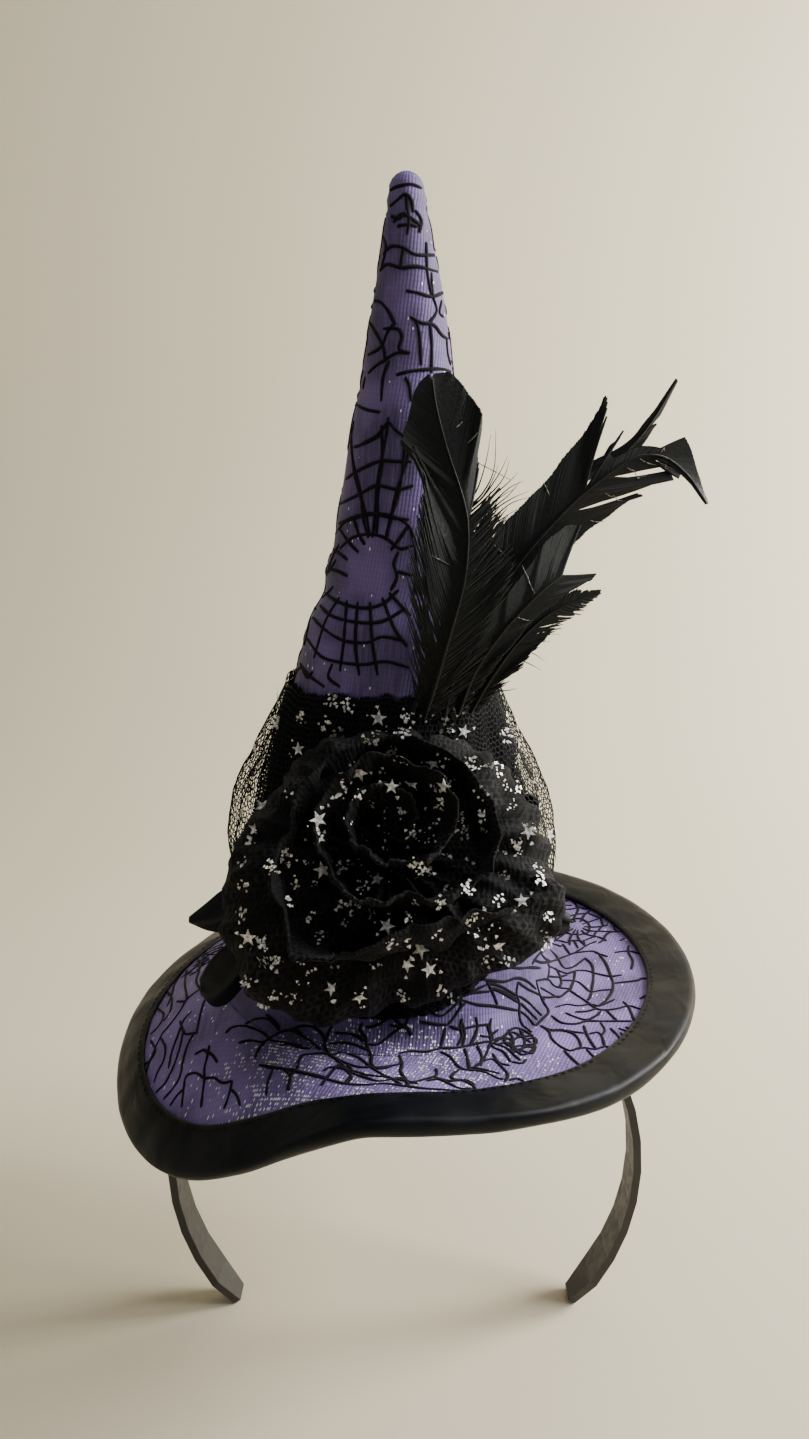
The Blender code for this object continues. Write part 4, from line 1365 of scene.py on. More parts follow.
@dataclass
class Feather:
    """One feather: a quill with a row of barbs on either side, split where the real one is."""

    name: str
    band: NetBand
    # Part of the length, x, height, how far in front of the foot, and length of the left and
    # right barbs
    stations: tuple
    barbs: int = 170
    # Part of the length, side, half width, and how far the barbs part there, in degrees
    splits: tuple = ()
    # From part to part, side, and how loose the barbs are there
    loose: tuple = ()
    # Pale cracks across the barbs: part of the length, side, and from where to where on the barbs
    cracks: tuple = ()
    down: float = 0.10
    seed: int = 1
    barb_angle: float = 36.0
    bow: float = 0.14
    cup: float = 0.10
    half: float = 0.40
    steps: tuple = tuple(k / 7 for k in range(8))
    crack_widths: tuple = (0.03, 0.10, 0.14, 0.14, 0.10, 0.03)
    stem_half: float = 0.62
    stem_steps: int = 40

    def foot_y(self) -> float:
        """Return the foot's place in front of the net."""
        x, height = self.stations[0][1:3]
        across = x - self.band.crown.section(height)[1]
        angle = -math.pi / 2
        radius = 0.0
        for _ in range(4):
            radius = self.band.radius(height, angle) + self.band.wall / 2 + 1.0
            angle = -math.acos(across / radius)
        return radius * math.sin(angle)

    def frame(self, part: float, foot_y: float) -> tuple[Vector, Vector, Vector, Vector]:
        """Return the quill's point, its direction, the vane's right-hand side and its front."""
        x, height, out = row_at(self.stations, part)[:3]
        before = row_at(self.stations, max(part - 0.01, 0.0))
        after = row_at(self.stations, min(part + 0.01, 1.0))
        along = Vector((after[0] - before[0], before[2] - after[2],
                        after[1] - before[1])).normalized()
        side = along.cross(TOWARDS_VIEW).normalized()
        if side.x < 0.0:
            side.negate()
        face = side.cross(along).normalized()
        if face.y > 0.0:
            face.negate()
        return Vector((x, foot_y - out, height)), along, side, face

    def looseness(self, part: float, sign: float) -> float:
        """Return how loose the barbs are at a part of the length, from 0 to 1."""
        most = max(0.0, 1.0 - part / self.down)
        for start, end, side, amount in self.loose:
            if side == sign and start < part < end:
                most = max(most, amount)
        return most

    def angle(self, part: float, sign: float) -> float:
        """Return the angle between a barb and the quill, in degrees."""
        turn = self.barb_angle + 2.2 * crinkle(Vector((part * 16.0, sign * 3.0, self.seed)), 1.0)
        for where, side, wide, push in self.splits:
            near = (part - where) / wide
            if side == sign and abs(near) < 3.0:
                turn -= push * math.copysign(math.exp(-near * near), near)
        return turn

    def barb(self, part: float, sign: float, degrees: float, length: float, foot_y: float
             ) -> Callable[[float], Vector]:
        """Return what gives a barb's points from 0 at the quill to 1 at its end."""
        quill, along, side, face = self.frame(part, foot_y)
        turn = math.radians(degrees)
        reach = side * sign * math.sin(turn) + along * math.cos(turn)
        return lambda t: (quill + reach * length * t + along * self.bow * length * t * t
                          - face * (self.cup * length * t + 0.25 * sign * t))

    def build(self, vane: Material, pale: Strands) -> Object:
        """Build the barbs and the quill, and add the pale cracks to the strands given."""
        chance = random.Random(self.seed)
        foot_y = self.foot_y()
        lines = Strands()
        for k in range(self.barbs):
            part = (k + 0.5) / self.barbs
            _, _, side, face = self.frame(part, foot_y)
            for sign, length in zip((-1.0, 1.0), row_at(self.stations, part)[3:5]):
                loose = self.looseness(part, sign)
                degrees = self.angle(part, sign) + chance.uniform(-0.3, 0.3)
                degrees += loose * chance.uniform(-15.0, 15.0)
                length = max(length, 0.6) * (1.0 - chance.uniform(0.0, 0.015)
                                             - 0.4 * loose * chance.random())
                at = self.barb(part, sign, degrees, length, foot_y)
                thick = self.half * (1.0 - 0.45 * loose)
                tilt = (face + side * (0.22 * sign + chance.uniform(-0.05, 0.05))).normalized()
                lines.add([at(t) for t in self.steps], [tilt] * len(self.steps),
                          [thick * (1.0 - (0.35 + 0.5 * loose) * t ** 4) for t in self.steps])
        plume = self.name.replace("feather", "plume")
        item = lines.sweep(plume, vane, 4, 0.14)
        long = sum((self.frame((k + 1) / 20, foot_y)[0] - self.frame(k / 20, foot_y)[0]).length
                   for k in range(20))
        for where, sign, start, end in self.cracks:
            path = []
            length = row_at(self.stations, where)[3 if sign < 0 else 4]
            for k in range(len(self.crack_widths)):
                t = start + (end - start) * k / (len(self.crack_widths) - 1)
                part = where - 0.8 * t * length / long
                at = self.barb(part, sign, self.angle(part, sign), length, foot_y)
                path.append(at(t) + self.frame(part, foot_y)[3] * 0.2)
            pale.add(path, [TOWARDS_VIEW] * len(path), self.crack_widths)
        stem = Strands()
        count = self.stem_steps
        frames = [self.frame(k / count, foot_y) for k in range(count + 1)]
        stem.add([quill + face * 0.18 for quill, _, _, face in frames],
                 [TOWARDS_VIEW] * (count + 1),
                 [self.stem_half * (1.0 - 0.8 * k / count) for k in range(count + 1)])
        settle(stem.sweep(plume + "_quill", vane, 8, 1.0), slot="feather")
        return settle(item, self.name, slot="feather")


# Loose barbs drawn over the enlarged plumes, by their depth: beside the upright feather, and at
# the low one
WISPS_SEEN = {-29.5: (
    (350, 660, 400, 600, 440, 480, 465, 345), (352, 690, 430, 610, 480, 500, 488, 320), (352, 700,
    430, 630, 500, 530, 545, 440), (350, 720, 440, 640, 520, 550, 552, 460), (350, 740, 450, 650,
    540, 570, 590, 520), (355, 760, 450, 680, 550, 590, 615, 560), (360, 780, 450, 700, 540, 630,
    600, 560), (365, 790, 470, 700, 560, 640, 640, 605), (360, 800, 470, 730, 560, 660, 645, 632),
    (370, 830, 430, 790, 490, 740, 520, 680), (375, 850, 450, 780, 520, 730, 600, 680), (380, 840,
    430, 790, 470, 720, 490, 690), (360, 680, 420, 640, 470, 560, 500, 480), (355, 770, 430, 720,
    500, 640, 580, 590),
), -27.5: (
    (480, 1370, 540, 1300, 640, 1230, 740, 1165), (500, 1350, 560, 1290, 680, 1220, 784, 1190),
    (500, 1360, 580, 1290, 680, 1265, 784, 1265), (500, 1370, 600, 1310, 680, 1300, 740, 1300),
    (495, 1380, 560, 1340, 640, 1330, 690, 1325), (480, 1385, 560, 1350, 650, 1350, 715, 1390),
    (470, 1390, 560, 1370, 640, 1400, 700, 1432), (460, 1500, 520, 1525, 585, 1515), (600, 1160,
    680, 1150, 784, 1160), (560, 1180, 640, 1140, 740, 1130),
)}


def build_wisps(view: PhotoView, finish: Material) -> Object:
    """Build the loose single barbs that stand away from the plumes."""
    threads = Strands()
    for depth, line in ((depth, line) for depth, lines in WISPS_SEEN.items() for line in lines):
        rows = traced(line)
        count = (len(rows) - 1) * 5
        path = [PLUME_PART.at_depth(view, *row_at(rows, k / 5), depth) for k in range(count + 1)]
        threads.add(path, [TOWARDS_VIEW] * (count + 1),
                    [0.30 * (1.0 - 0.85 * k / count) for k in range(count + 1)])
    return settle(threads.sweep("plume_wisps", finish, 4, 0.4), slot="feather")


FEATHERS = {
    "feather_upright": dict(
        stations=(
            (0.00, 5, 86, 0, 12, 12), (0.10, 7.8, 95, 2.2, 20, 18), (0.24, 11.6, 109, 3.7, 26, 19),
            (0.38, 14.9, 121.5, 3.7, 28.5, 16), (0.50, 16, 131.5, 2.9, 25.5, 13),
            (0.57, 15.9, 137, 2.2, 23, 10), (0.585, 15.8, 138.2, 2, 22.5, 14),
            (0.63, 15, 142, 1.4, 20, 18), (0.68, 13.8, 146, 0.9, 17, 18.5),
            (0.80, 10.6, 155.5, -0.9, 11.5, 14.5), (0.92, 8, 165.5, -2.9, 6.5, 8.5),
            (1.00, 7, 172.3, -4.3, 1.5, 1.5)),
        barbs=300, down=0.34, splits=((0.578, 1.0, 0.05, 17.0),),
        loose=((0.30, 0.575, 1.0, 0.75),),
        cracks=((0.70, 1.0, 0.55, 0.85), (0.78, 1.0, 0.6, 0.95), (0.42, -1.0, 0.3, 0.6),
                (0.84, 1.0, 0.5, 0.8)), seed=11),
    "feather_long": dict(
        stations=(
            (0.00, 10.6, 86, 0, 8, 8), (0.12, 14, 101, -0.4, 14, 12),
            (0.26, 22.5, 116, -1.9, 16, 14), (0.38, 31, 128, -3.4, 15, 17),
            (0.50, 39.5, 137.5, -4.9, 18, 20), (0.575, 45.6, 143.5, -5.9, 24, 22),
            (0.60, 47.5, 145, -6, 13, 21), (0.66, 52, 148.5, -6.6, 5, 16),
            (0.76, 60, 153.5, -7.9, 3.5, 12), (0.86, 68, 153.5, -8.9, 2.5, 7),
            (0.94, 75, 148.5, -9.9, 1.6, 3), (1.00, 80, 142, -10.9, 0.6, 0.8)),
        barbs=300, down=0.26, barb_angle=33.0,
        splits=((0.59, -1.0, 0.02, 9.0), (0.66, 1.0, 0.015, 7.0), (0.52, 1.0, 0.01, 4.0),
                (0.80, 1, 0.015, 8)),
        cracks=((0.36, -1.0, 0.45, 0.95), (0.46, 1.0, 0.25, 0.95), (0.54, 1.0, 0.6, 0.95),
                (0.62, 1, 0.35, 0.9), (0.72, 1, 0.2, 0.95), (0.77, 1, 0.1, 0.95),
                (0.84, 1.0, 0.2, 0.9), (0.52, -1.0, 0.5, 0.8)), seed=12),
    "feather_curled": dict(
        stations=(
            (0.00, 2, 88, 0, 0.6, 0.6), (0.07, 4.3, 94, -1.4, 1.5, 1.5),
            (0.20, 12.5, 110, -8, 4, 4), (0.45, 30, 131.5, -11, 5.5, 4.5),
            (0.65, 45, 147, -12.5, 5, 4.5), (0.80, 58.5, 155.5, -14, 4, 4),
            (0.90, 65, 163, -15, 2.5, 2.4), (1.00, 71, 173, -16, 0.7, 0.7)),
        barbs=230, splits=((0.88, 1.0, 0.015, 10.0),), barb_angle=24.0, seed=13),
    "feather_square": dict(
        stations=(
            (0.00, 14.2, 86.5, 0, 5, 5), (0.25, 18.5, 99, 4.7, 9, 8),
            (0.50, 25.5, 109.5, 5.2, 9, 7), (0.75, 32.5, 117, 4.2, 14, 9),
            (0.90, 37, 121, 3.2, 15, 10), (1.00, 40.5, 123.5, 2.2, 13, 9)),
        barbs=150, down=0.3, cracks=((0.62, 1.0, 0.1, 0.9), (0.8, -1.0, 0.1, 0.9)), seed=14),
    "feather_low": dict(
        stations=(
            (0.00, 17.6, 86.5, 0, 5, 5), (0.25, 22.5, 96, 3.4, 8, 9), (0.50, 29.5, 106, 3.9, 7, 9),
            (0.75, 38.5, 114, 2.9, 6, 7), (1.00, 51, 119, 0.9, 0.8, 0.8)),
        barbs=150, down=0.4, loose=((0.45, 1.0, 1.0, 0.6), (0.6, 1.0, -1.0, 0.35)),
        cracks=((0.45, -1.0, 0.1, 0.9),), seed=15),
}


# The raised webs

# Web lines drawn over enlarged parts of the photograph, each as x, y, x, y and so on. On
# the crown in front, and round the bare middle low on it
CROWN_SEEN = {Enlargement(100.0, 140.0, 2.489): (
    (722, 125, 745, 115, 775, 110, 800, 120), (722, 165, 740, 150, 760, 135, 775, 150, 780, 180),
    (730, 205, 750, 185, 775, 195, 800, 215), (740, 215, 765, 210, 790, 215), (762, 135, 765, 170,
    770, 200, 765, 235), (785, 175, 800, 200, 795, 230), (725, 190, 745, 195, 760, 180), (705, 285,
    725, 265, 755, 268, 785, 285, 832, 287), (697, 325, 715, 310, 750, 318, 790, 315, 840, 328),
    (755, 268, 748, 318), (812, 255, 815, 330, 825, 385), (705, 240, 712, 270, 700, 320), (762,
    375, 790, 380, 825, 390, 853, 380), (825, 330, 828, 385, 838, 425, 820, 455), (850, 400, 845,
    430, 855, 440), (772, 440, 800, 455, 830, 460, 850, 485, 865, 495), (785, 445, 795, 480, 800,
    560), (822, 460, 826, 510, 825, 580), (862, 490, 865, 530, 872, 560), (737, 585, 760, 578, 800,
    572, 850, 570, 880, 580), (760, 590, 770, 610, 775, 650), (683, 400, 700, 405, 720, 430, 735,
    460), (672, 455, 690, 485, 705, 515, 710, 545), (735, 455, 715, 480, 700, 515, 668, 535), (705,
    470, 740, 470, 752, 490, 745, 520, 770, 530), (712, 545, 740, 530, 772, 530), (668, 580, 690,
    560, 715, 545), (660, 590, 655, 620), (720, 550, 705, 590, 700, 650), (640, 660, 665, 672, 698,
    678), (718, 690, 712, 740, 700, 800, 690, 860, 685, 930, 678, 990), (718, 700, 690, 735, 655,
    755, 640, 765), (718, 700, 740, 725, 770, 745), (632, 765, 660, 755, 700, 735), (605, 850, 640,
    825, 695, 800, 740, 800, 775, 800), (600, 905, 650, 880, 690, 860, 740, 870, 780, 860), (595,
    955, 640, 940, 680, 932, 725, 940, 770, 945), (632, 700, 625, 760, 635, 820, 650, 880, 655,
    940, 668, 990), (770, 745, 765, 800, 740, 870, 725, 940, 712, 985),
), Enlargement(290.0, 160.0, 2.6): (
    (125, 962, 150, 936, 200, 920, 260, 925, 308, 950, 326, 1000), (130, 1010, 160, 984, 205, 973,
    250, 984, 285, 1010, 322, 1002), (160, 700, 165, 800, 180, 862, 198, 925, 208, 978), (238, 690,
    240, 785, 230, 855, 228, 925, 225, 975), (300, 720, 295, 790, 285, 860, 262, 930, 250, 990),
    (130, 960, 150, 990, 178, 1020), (165, 930, 180, 975, 195, 1000), (308, 950, 285, 985, 262,
    1015), (100, 1064, 122, 1068, 150, 1082), (100, 1005, 125, 1020, 150, 1040), (282, 1020, 270,
    1050, 278, 1085, 262, 1120), (278, 1070, 300, 1075, 318, 1080), (326, 1000, 330, 1080, 318,
    1150), (76, 1108, 110, 1140, 150, 1158, 200, 1165, 245, 1152, 282, 1118), (72, 1150, 100, 1180,
    140, 1196, 200, 1204, 250, 1196, 296, 1168), (60, 1190, 92, 1222, 140, 1250, 200, 1255, 240,
    1240, 300, 1250), (42, 1240, 80, 1290, 130, 1306, 190, 1312, 250, 1304, 310, 1320), (128, 1138,
    92, 1200, 62, 1296), (148, 1146, 140, 1250, 130, 1330), (176, 1150, 170, 1256, 180, 1340),
    (208, 1150, 214, 1250, 228, 1340), (240, 1138, 270, 1215, 305, 1265), (112, 1110, 62, 1170, 38,
    1262), (258, 1125, 290, 1160, 315, 1185), (20, 1300, 50, 1340, 90, 1370), (120, 1040, 95, 1080,
    70, 1130), (100, 1064, 80, 1100, 66, 1150), (128, 1000, 112, 1030, 100, 1064), (110, 1310, 100,
    1345, 130, 1370), (16, 1330, 30, 1320, 45, 1345, 60, 1330),
)}
# On the brim: at the left, in the middle, at the right and along the binding in front
BRIM_SEEN = {Enlargement(115.0, 930.0, 6.149): (
    (580, 60, 520, 120, 460, 180, 400, 240, 340, 310, 280, 380, 230, 450, 200, 520), (540, 80, 510,
    170, 520, 240, 500, 320, 540, 380), (480, 150, 440, 230, 370, 330, 350, 400, 320, 470), (590,
    90, 550, 150, 520, 240, 460, 280), (440, 250, 430, 330, 440, 430, 380, 440), (560, 350, 500,
    380, 440, 430, 400, 500, 340, 580, 290, 640), (620, 380, 560, 420, 530, 500, 510, 590, 500,
    640), (470, 500, 420, 560, 390, 640, 350, 750, 330, 850), (400, 560, 420, 620, 440, 640, 510,
    630), (490, 630, 450, 700, 420, 800, 400, 900, 360, 970, 300, 1040), (420, 620, 400, 720, 360,
    840, 310, 940, 250, 1000), (320, 380, 350, 420, 340, 500, 300, 560), (290, 430, 250, 500, 220,
    560, 200, 640, 180, 720), (260, 480, 300, 520, 270, 590, 220, 640), (300, 620, 260, 700, 230,
    770, 200, 850, 190, 900), (280, 660, 310, 720, 300, 800, 260, 880, 240, 940), (220, 680, 250,
    740, 220, 800, 180, 830), (490, 765, 540, 740, 560, 745, 600, 770, 630, 815), (580, 710, 565,
    790, 550, 850, 550, 920, 540, 1000, 530, 1090), (430, 920, 450, 890, 500, 880, 550, 910, 610,
    910, 660, 940, 720, 930), (430, 920, 420, 1000, 410, 1090), (720, 930, 710, 980, 690, 1050,
    670, 1100), (715, 980, 750, 1020, 770, 1080), (340, 1080, 380, 1020, 420, 980), (680, 635, 720,
    600, 790, 590, 860, 610, 920, 640, 960, 680, 1040, 690, 1150, 715), (760, 695, 830, 680, 900,
    690, 930, 680, 990, 640, 1050, 620, 1100, 610, 1150, 640), (920, 690, 880, 740, 860, 790),
    (800, 580, 860, 550, 930, 545, 980, 580, 1010, 620), (930, 520, 980, 560, 1010, 600), (900,
    830, 960, 850, 1040, 855, 1110, 860), (970, 860, 940, 940, 930, 1020), (1090, 870, 1070, 940,
    1070, 990),
), Enlargement(280.0, 980.0, 6.533): (
    (0, 340, 40, 330, 90, 335, 150, 370, 200, 400, 265, 455), (0, 430, 60, 420, 120, 440, 200,
    450), (95, 315, 150, 300, 220, 310, 270, 350, 300, 400), (340, 300, 310, 360, 290, 420, 320,
    480, 400, 545, 440, 600), (60, 710, 65, 640, 110, 580, 140, 500, 200, 485, 280, 480, 340, 490,
    400, 470), (0, 570, 60, 590, 130, 600, 200, 615, 310, 640), (400, 545, 350, 590, 310, 640, 270,
    690), (440, 600, 470, 640, 440, 680), (390, 560, 450, 590, 500, 600, 560, 620), (320, 420, 400,
    410, 480, 420, 560, 450, 590, 470), (320, 490, 380, 520, 450, 550, 520, 570, 590, 570), (440,
    480, 520, 510, 570, 550, 640, 600, 720, 640, 820, 660, 900, 680), (360, 345, 430, 350, 500,
    365, 550, 400), (540, 280, 520, 320, 560, 380, 570, 430, 600, 500, 600, 550, 640, 580, 700,
    575, 730, 560), (560, 310, 620, 300, 680, 270, 700, 250), (570, 420, 640, 420, 700, 380, 760,
    330, 820, 290), (690, 200, 740, 250, 790, 290, 830, 320, 860, 365), (820, 290, 850, 230, 900,
    195, 960, 180, 1040, 190), (910, 270, 970, 280, 1040, 290, 1100, 290), (730, 210, 790, 190,
    830, 190, 860, 170), (960, 180, 930, 150, 960, 120, 1040, 95, 1120, 90, 1190, 100), (1190, 100,
    1180, 150, 1200, 170), (1100, 290, 1140, 240, 1180, 180, 1210, 150), (1080, 310, 1070, 370,
    1050, 440), (1190, 250, 1180, 310, 1190, 370, 1160, 430), (1280, 240, 1290, 310, 1270, 380,
    1240, 430), (1380, 250, 1370, 320, 1390, 380, 1350, 410), (1040, 440, 1100, 450, 1200, 435,
    1280, 420, 1360, 400), (780, 480, 860, 465, 950, 470, 1040, 450), (780, 490, 800, 550, 790,
    600, 830, 660, 840, 700), (1050, 470, 1110, 500, 1150, 550, 1190, 580, 1240, 590, 1330, 600,
    1420, 640, 1460, 650), (1190, 580, 1150, 600, 1120, 640, 1200, 660, 1260, 690, 1280, 720),
    (960, 660, 1040, 650, 1110, 680, 1180, 710, 1250, 710), (560, 620, 640, 630, 720, 640, 800,
    690), (1210, 450, 1230, 530, 1240, 590), (1290, 430, 1320, 500, 1310, 560), (1390, 480, 1430,
    540, 1500, 560), (1380, 410, 1470, 440, 1520, 480), (1110, 300, 1180, 320, 1280, 300, 1380,
    290), (1190, 100, 1260, 70, 1350, 30), (1350, 0, 1400, 110, 1420, 160), (1190, 130, 1290, 160,
    1400, 170, 1560, 200), (1360, 20, 1440, 40, 1560, 110), (1370, 50, 1450, 80, 1560, 150),
), Enlargement(480.0, 940.0, 7.127): (
    (370, 170, 420, 100, 480, 60), (430, 90, 460, 130, 500, 150), (500, 70, 540, 110, 560, 140),
    (590, 30, 620, 70, 640, 100), (670, 0, 700, 60), (740, 0, 750, 50), (380, 140, 440, 160, 520,
    150, 600, 120, 680, 90, 760, 40, 830, 10), (640, 100, 700, 90, 800, 80, 850, 100, 910, 120),
    (850, 105, 900, 170, 930, 250, 950, 310, 940, 370, 900, 430, 850, 470), (750, 130, 800, 180,
    810, 260, 800, 340, 790, 400, 770, 430), (560, 140, 600, 200, 670, 190, 750, 130), (480, 180,
    540, 210, 620, 240, 680, 220, 760, 220, 830, 240, 930, 260, 1010, 250), (490, 170, 490, 230,
    480, 280), (540, 200, 570, 260, 580, 310, 560, 340), (490, 260, 560, 265, 620, 250), (680, 220,
    670, 280, 650, 340, 640, 360), (580, 290, 640, 290, 700, 300, 740, 330, 790, 370, 860, 360,
    930, 355), (400, 290, 480, 280, 520, 320, 560, 340, 640, 350), (400, 290, 420, 370, 450, 440,
    490, 510, 450, 560, 400, 610), (430, 340, 500, 380, 560, 410, 620, 370, 650, 350), (430, 410,
    500, 410, 570, 400), (640, 360, 700, 400, 760, 440, 830, 490, 900, 500, 980, 490, 1060, 470,
    1130, 490, 1210, 520), (540, 480, 620, 460, 700, 470, 790, 460, 850, 470, 960, 425), (680, 515,
    760, 510, 830, 490), (610, 520, 680, 550, 760, 570, 830, 540, 860, 510), (510, 540, 580, 590,
    680, 600, 760, 580, 860, 580, 970, 580, 1080, 580), (1020, 440, 1060, 480, 1090, 550, 1110,
    600), (900, 500, 940, 540, 980, 580), (950, 310, 1040, 300, 1120, 290, 1160, 275, 1230, 280),
    (960, 90, 1040, 80, 1090, 85, 1140, 100), (1060, 40, 1060, 90, 1090, 150, 1080, 210), (1140,
    420, 1180, 400, 1230, 380), (200, 190, 280, 200, 360, 195, 430, 200), (20, 280, 100, 290, 180,
    295, 260, 270, 330, 290, 400, 350), (50, 300, 90, 370, 110, 420), (270, 300, 260, 380, 280,
    450, 280, 520, 300, 600, 370, 660), (270, 300, 340, 350, 420, 390, 460, 430), (90, 340, 170,
    370, 260, 420), (280, 400, 340, 440, 400, 500, 440, 540), (290, 450, 350, 510, 410, 570), (290,
    510, 340, 550, 390, 610), (430, 610, 490, 650, 510, 700, 560, 750, 640, 790, 700, 770), (430,
    610, 500, 640, 580, 640, 660, 655, 740, 665), (510, 650, 600, 650, 680, 680, 720, 750, 700,
    780), (740, 610, 760, 670, 800, 740, 830, 780), (780, 670, 840, 660, 870, 690, 890, 760), (860,
    590, 890, 640, 870, 680), (640, 790, 740, 770, 820, 780, 900, 760, 960, 800), (600, 790, 660,
    850, 740, 920), (760, 780, 820, 840, 880, 870, 920, 840), (930, 630, 980, 680, 1020, 740),
    (1090, 600, 1150, 610, 1190, 600), (990, 630, 1060, 660, 1100, 700, 1150, 680), (1000, 660,
    1050, 720, 1080, 740), (1040, 620, 1090, 660, 1120, 720), (240, 660, 300, 690, 380, 680), (250,
    760, 330, 750, 400, 740, 390, 700, 330, 710), (300, 790, 370, 810, 400, 760), (200, 640, 240,
    720, 230, 800, 290, 860), (100, 730, 170, 700, 240, 720), (60, 620, 80, 700, 90, 760, 170, 800,
    220, 870), (0, 680, 60, 690, 130, 640), (0, 870, 90, 850, 150, 900, 200, 960, 180, 1010), (230,
    870, 300, 880, 330, 850), (210, 1000, 270, 990, 330, 1020),
), Enlargement(225.0, 985.0, 4.0): (
    (135, 320, 200, 330, 300, 350, 400, 375, 480, 395, 560, 400, 640, 395, 720, 405, 800, 415, 880,
    420, 960, 425, 1000, 420), (580, 330, 620, 330, 660, 325, 700, 315, 705, 295), (500, 350, 560,
    370, 620, 385, 700, 372, 740, 390, 790, 380, 845, 362, 845, 335), (840, 370, 900, 385, 960,
    380, 1000, 400), (980, 330, 1040, 340, 1100, 355), (540, 130, 600, 112, 660, 102, 720, 92, 790,
    96, 860, 122, 900, 100, 940, 60), (660, 160, 690, 165, 720, 160, 750, 200), (490, 320, 510,
    350, 480, 392), (860, 252, 940, 250, 1000, 235, 1060, 225, 1100, 210), (950, 150, 960, 200,
    950, 245), (1050, 160, 1062, 222, 1040, 290, 1000, 330), (1120, 200, 1160, 172, 1210, 190,
    1240, 222, 1230, 260, 1190, 280, 1150, 252, 1120, 230, 1120, 200), (1130, 240, 1180, 208, 1225,
    232), (1145, 272, 1200, 250, 1240, 250), (1085, 240, 1130, 232, 1172, 262), (1100, 215, 1150,
    190, 1200, 215), (1180, 175, 1200, 230, 1180, 270), (230, 330, 262, 370, 250, 420), (395, 345,
    420, 330, 470, 335, 500, 350), (640, 60, 700, 60, 745, 40), (905, 60, 950, 45, 1000, 30, 1060,
    25),
)}


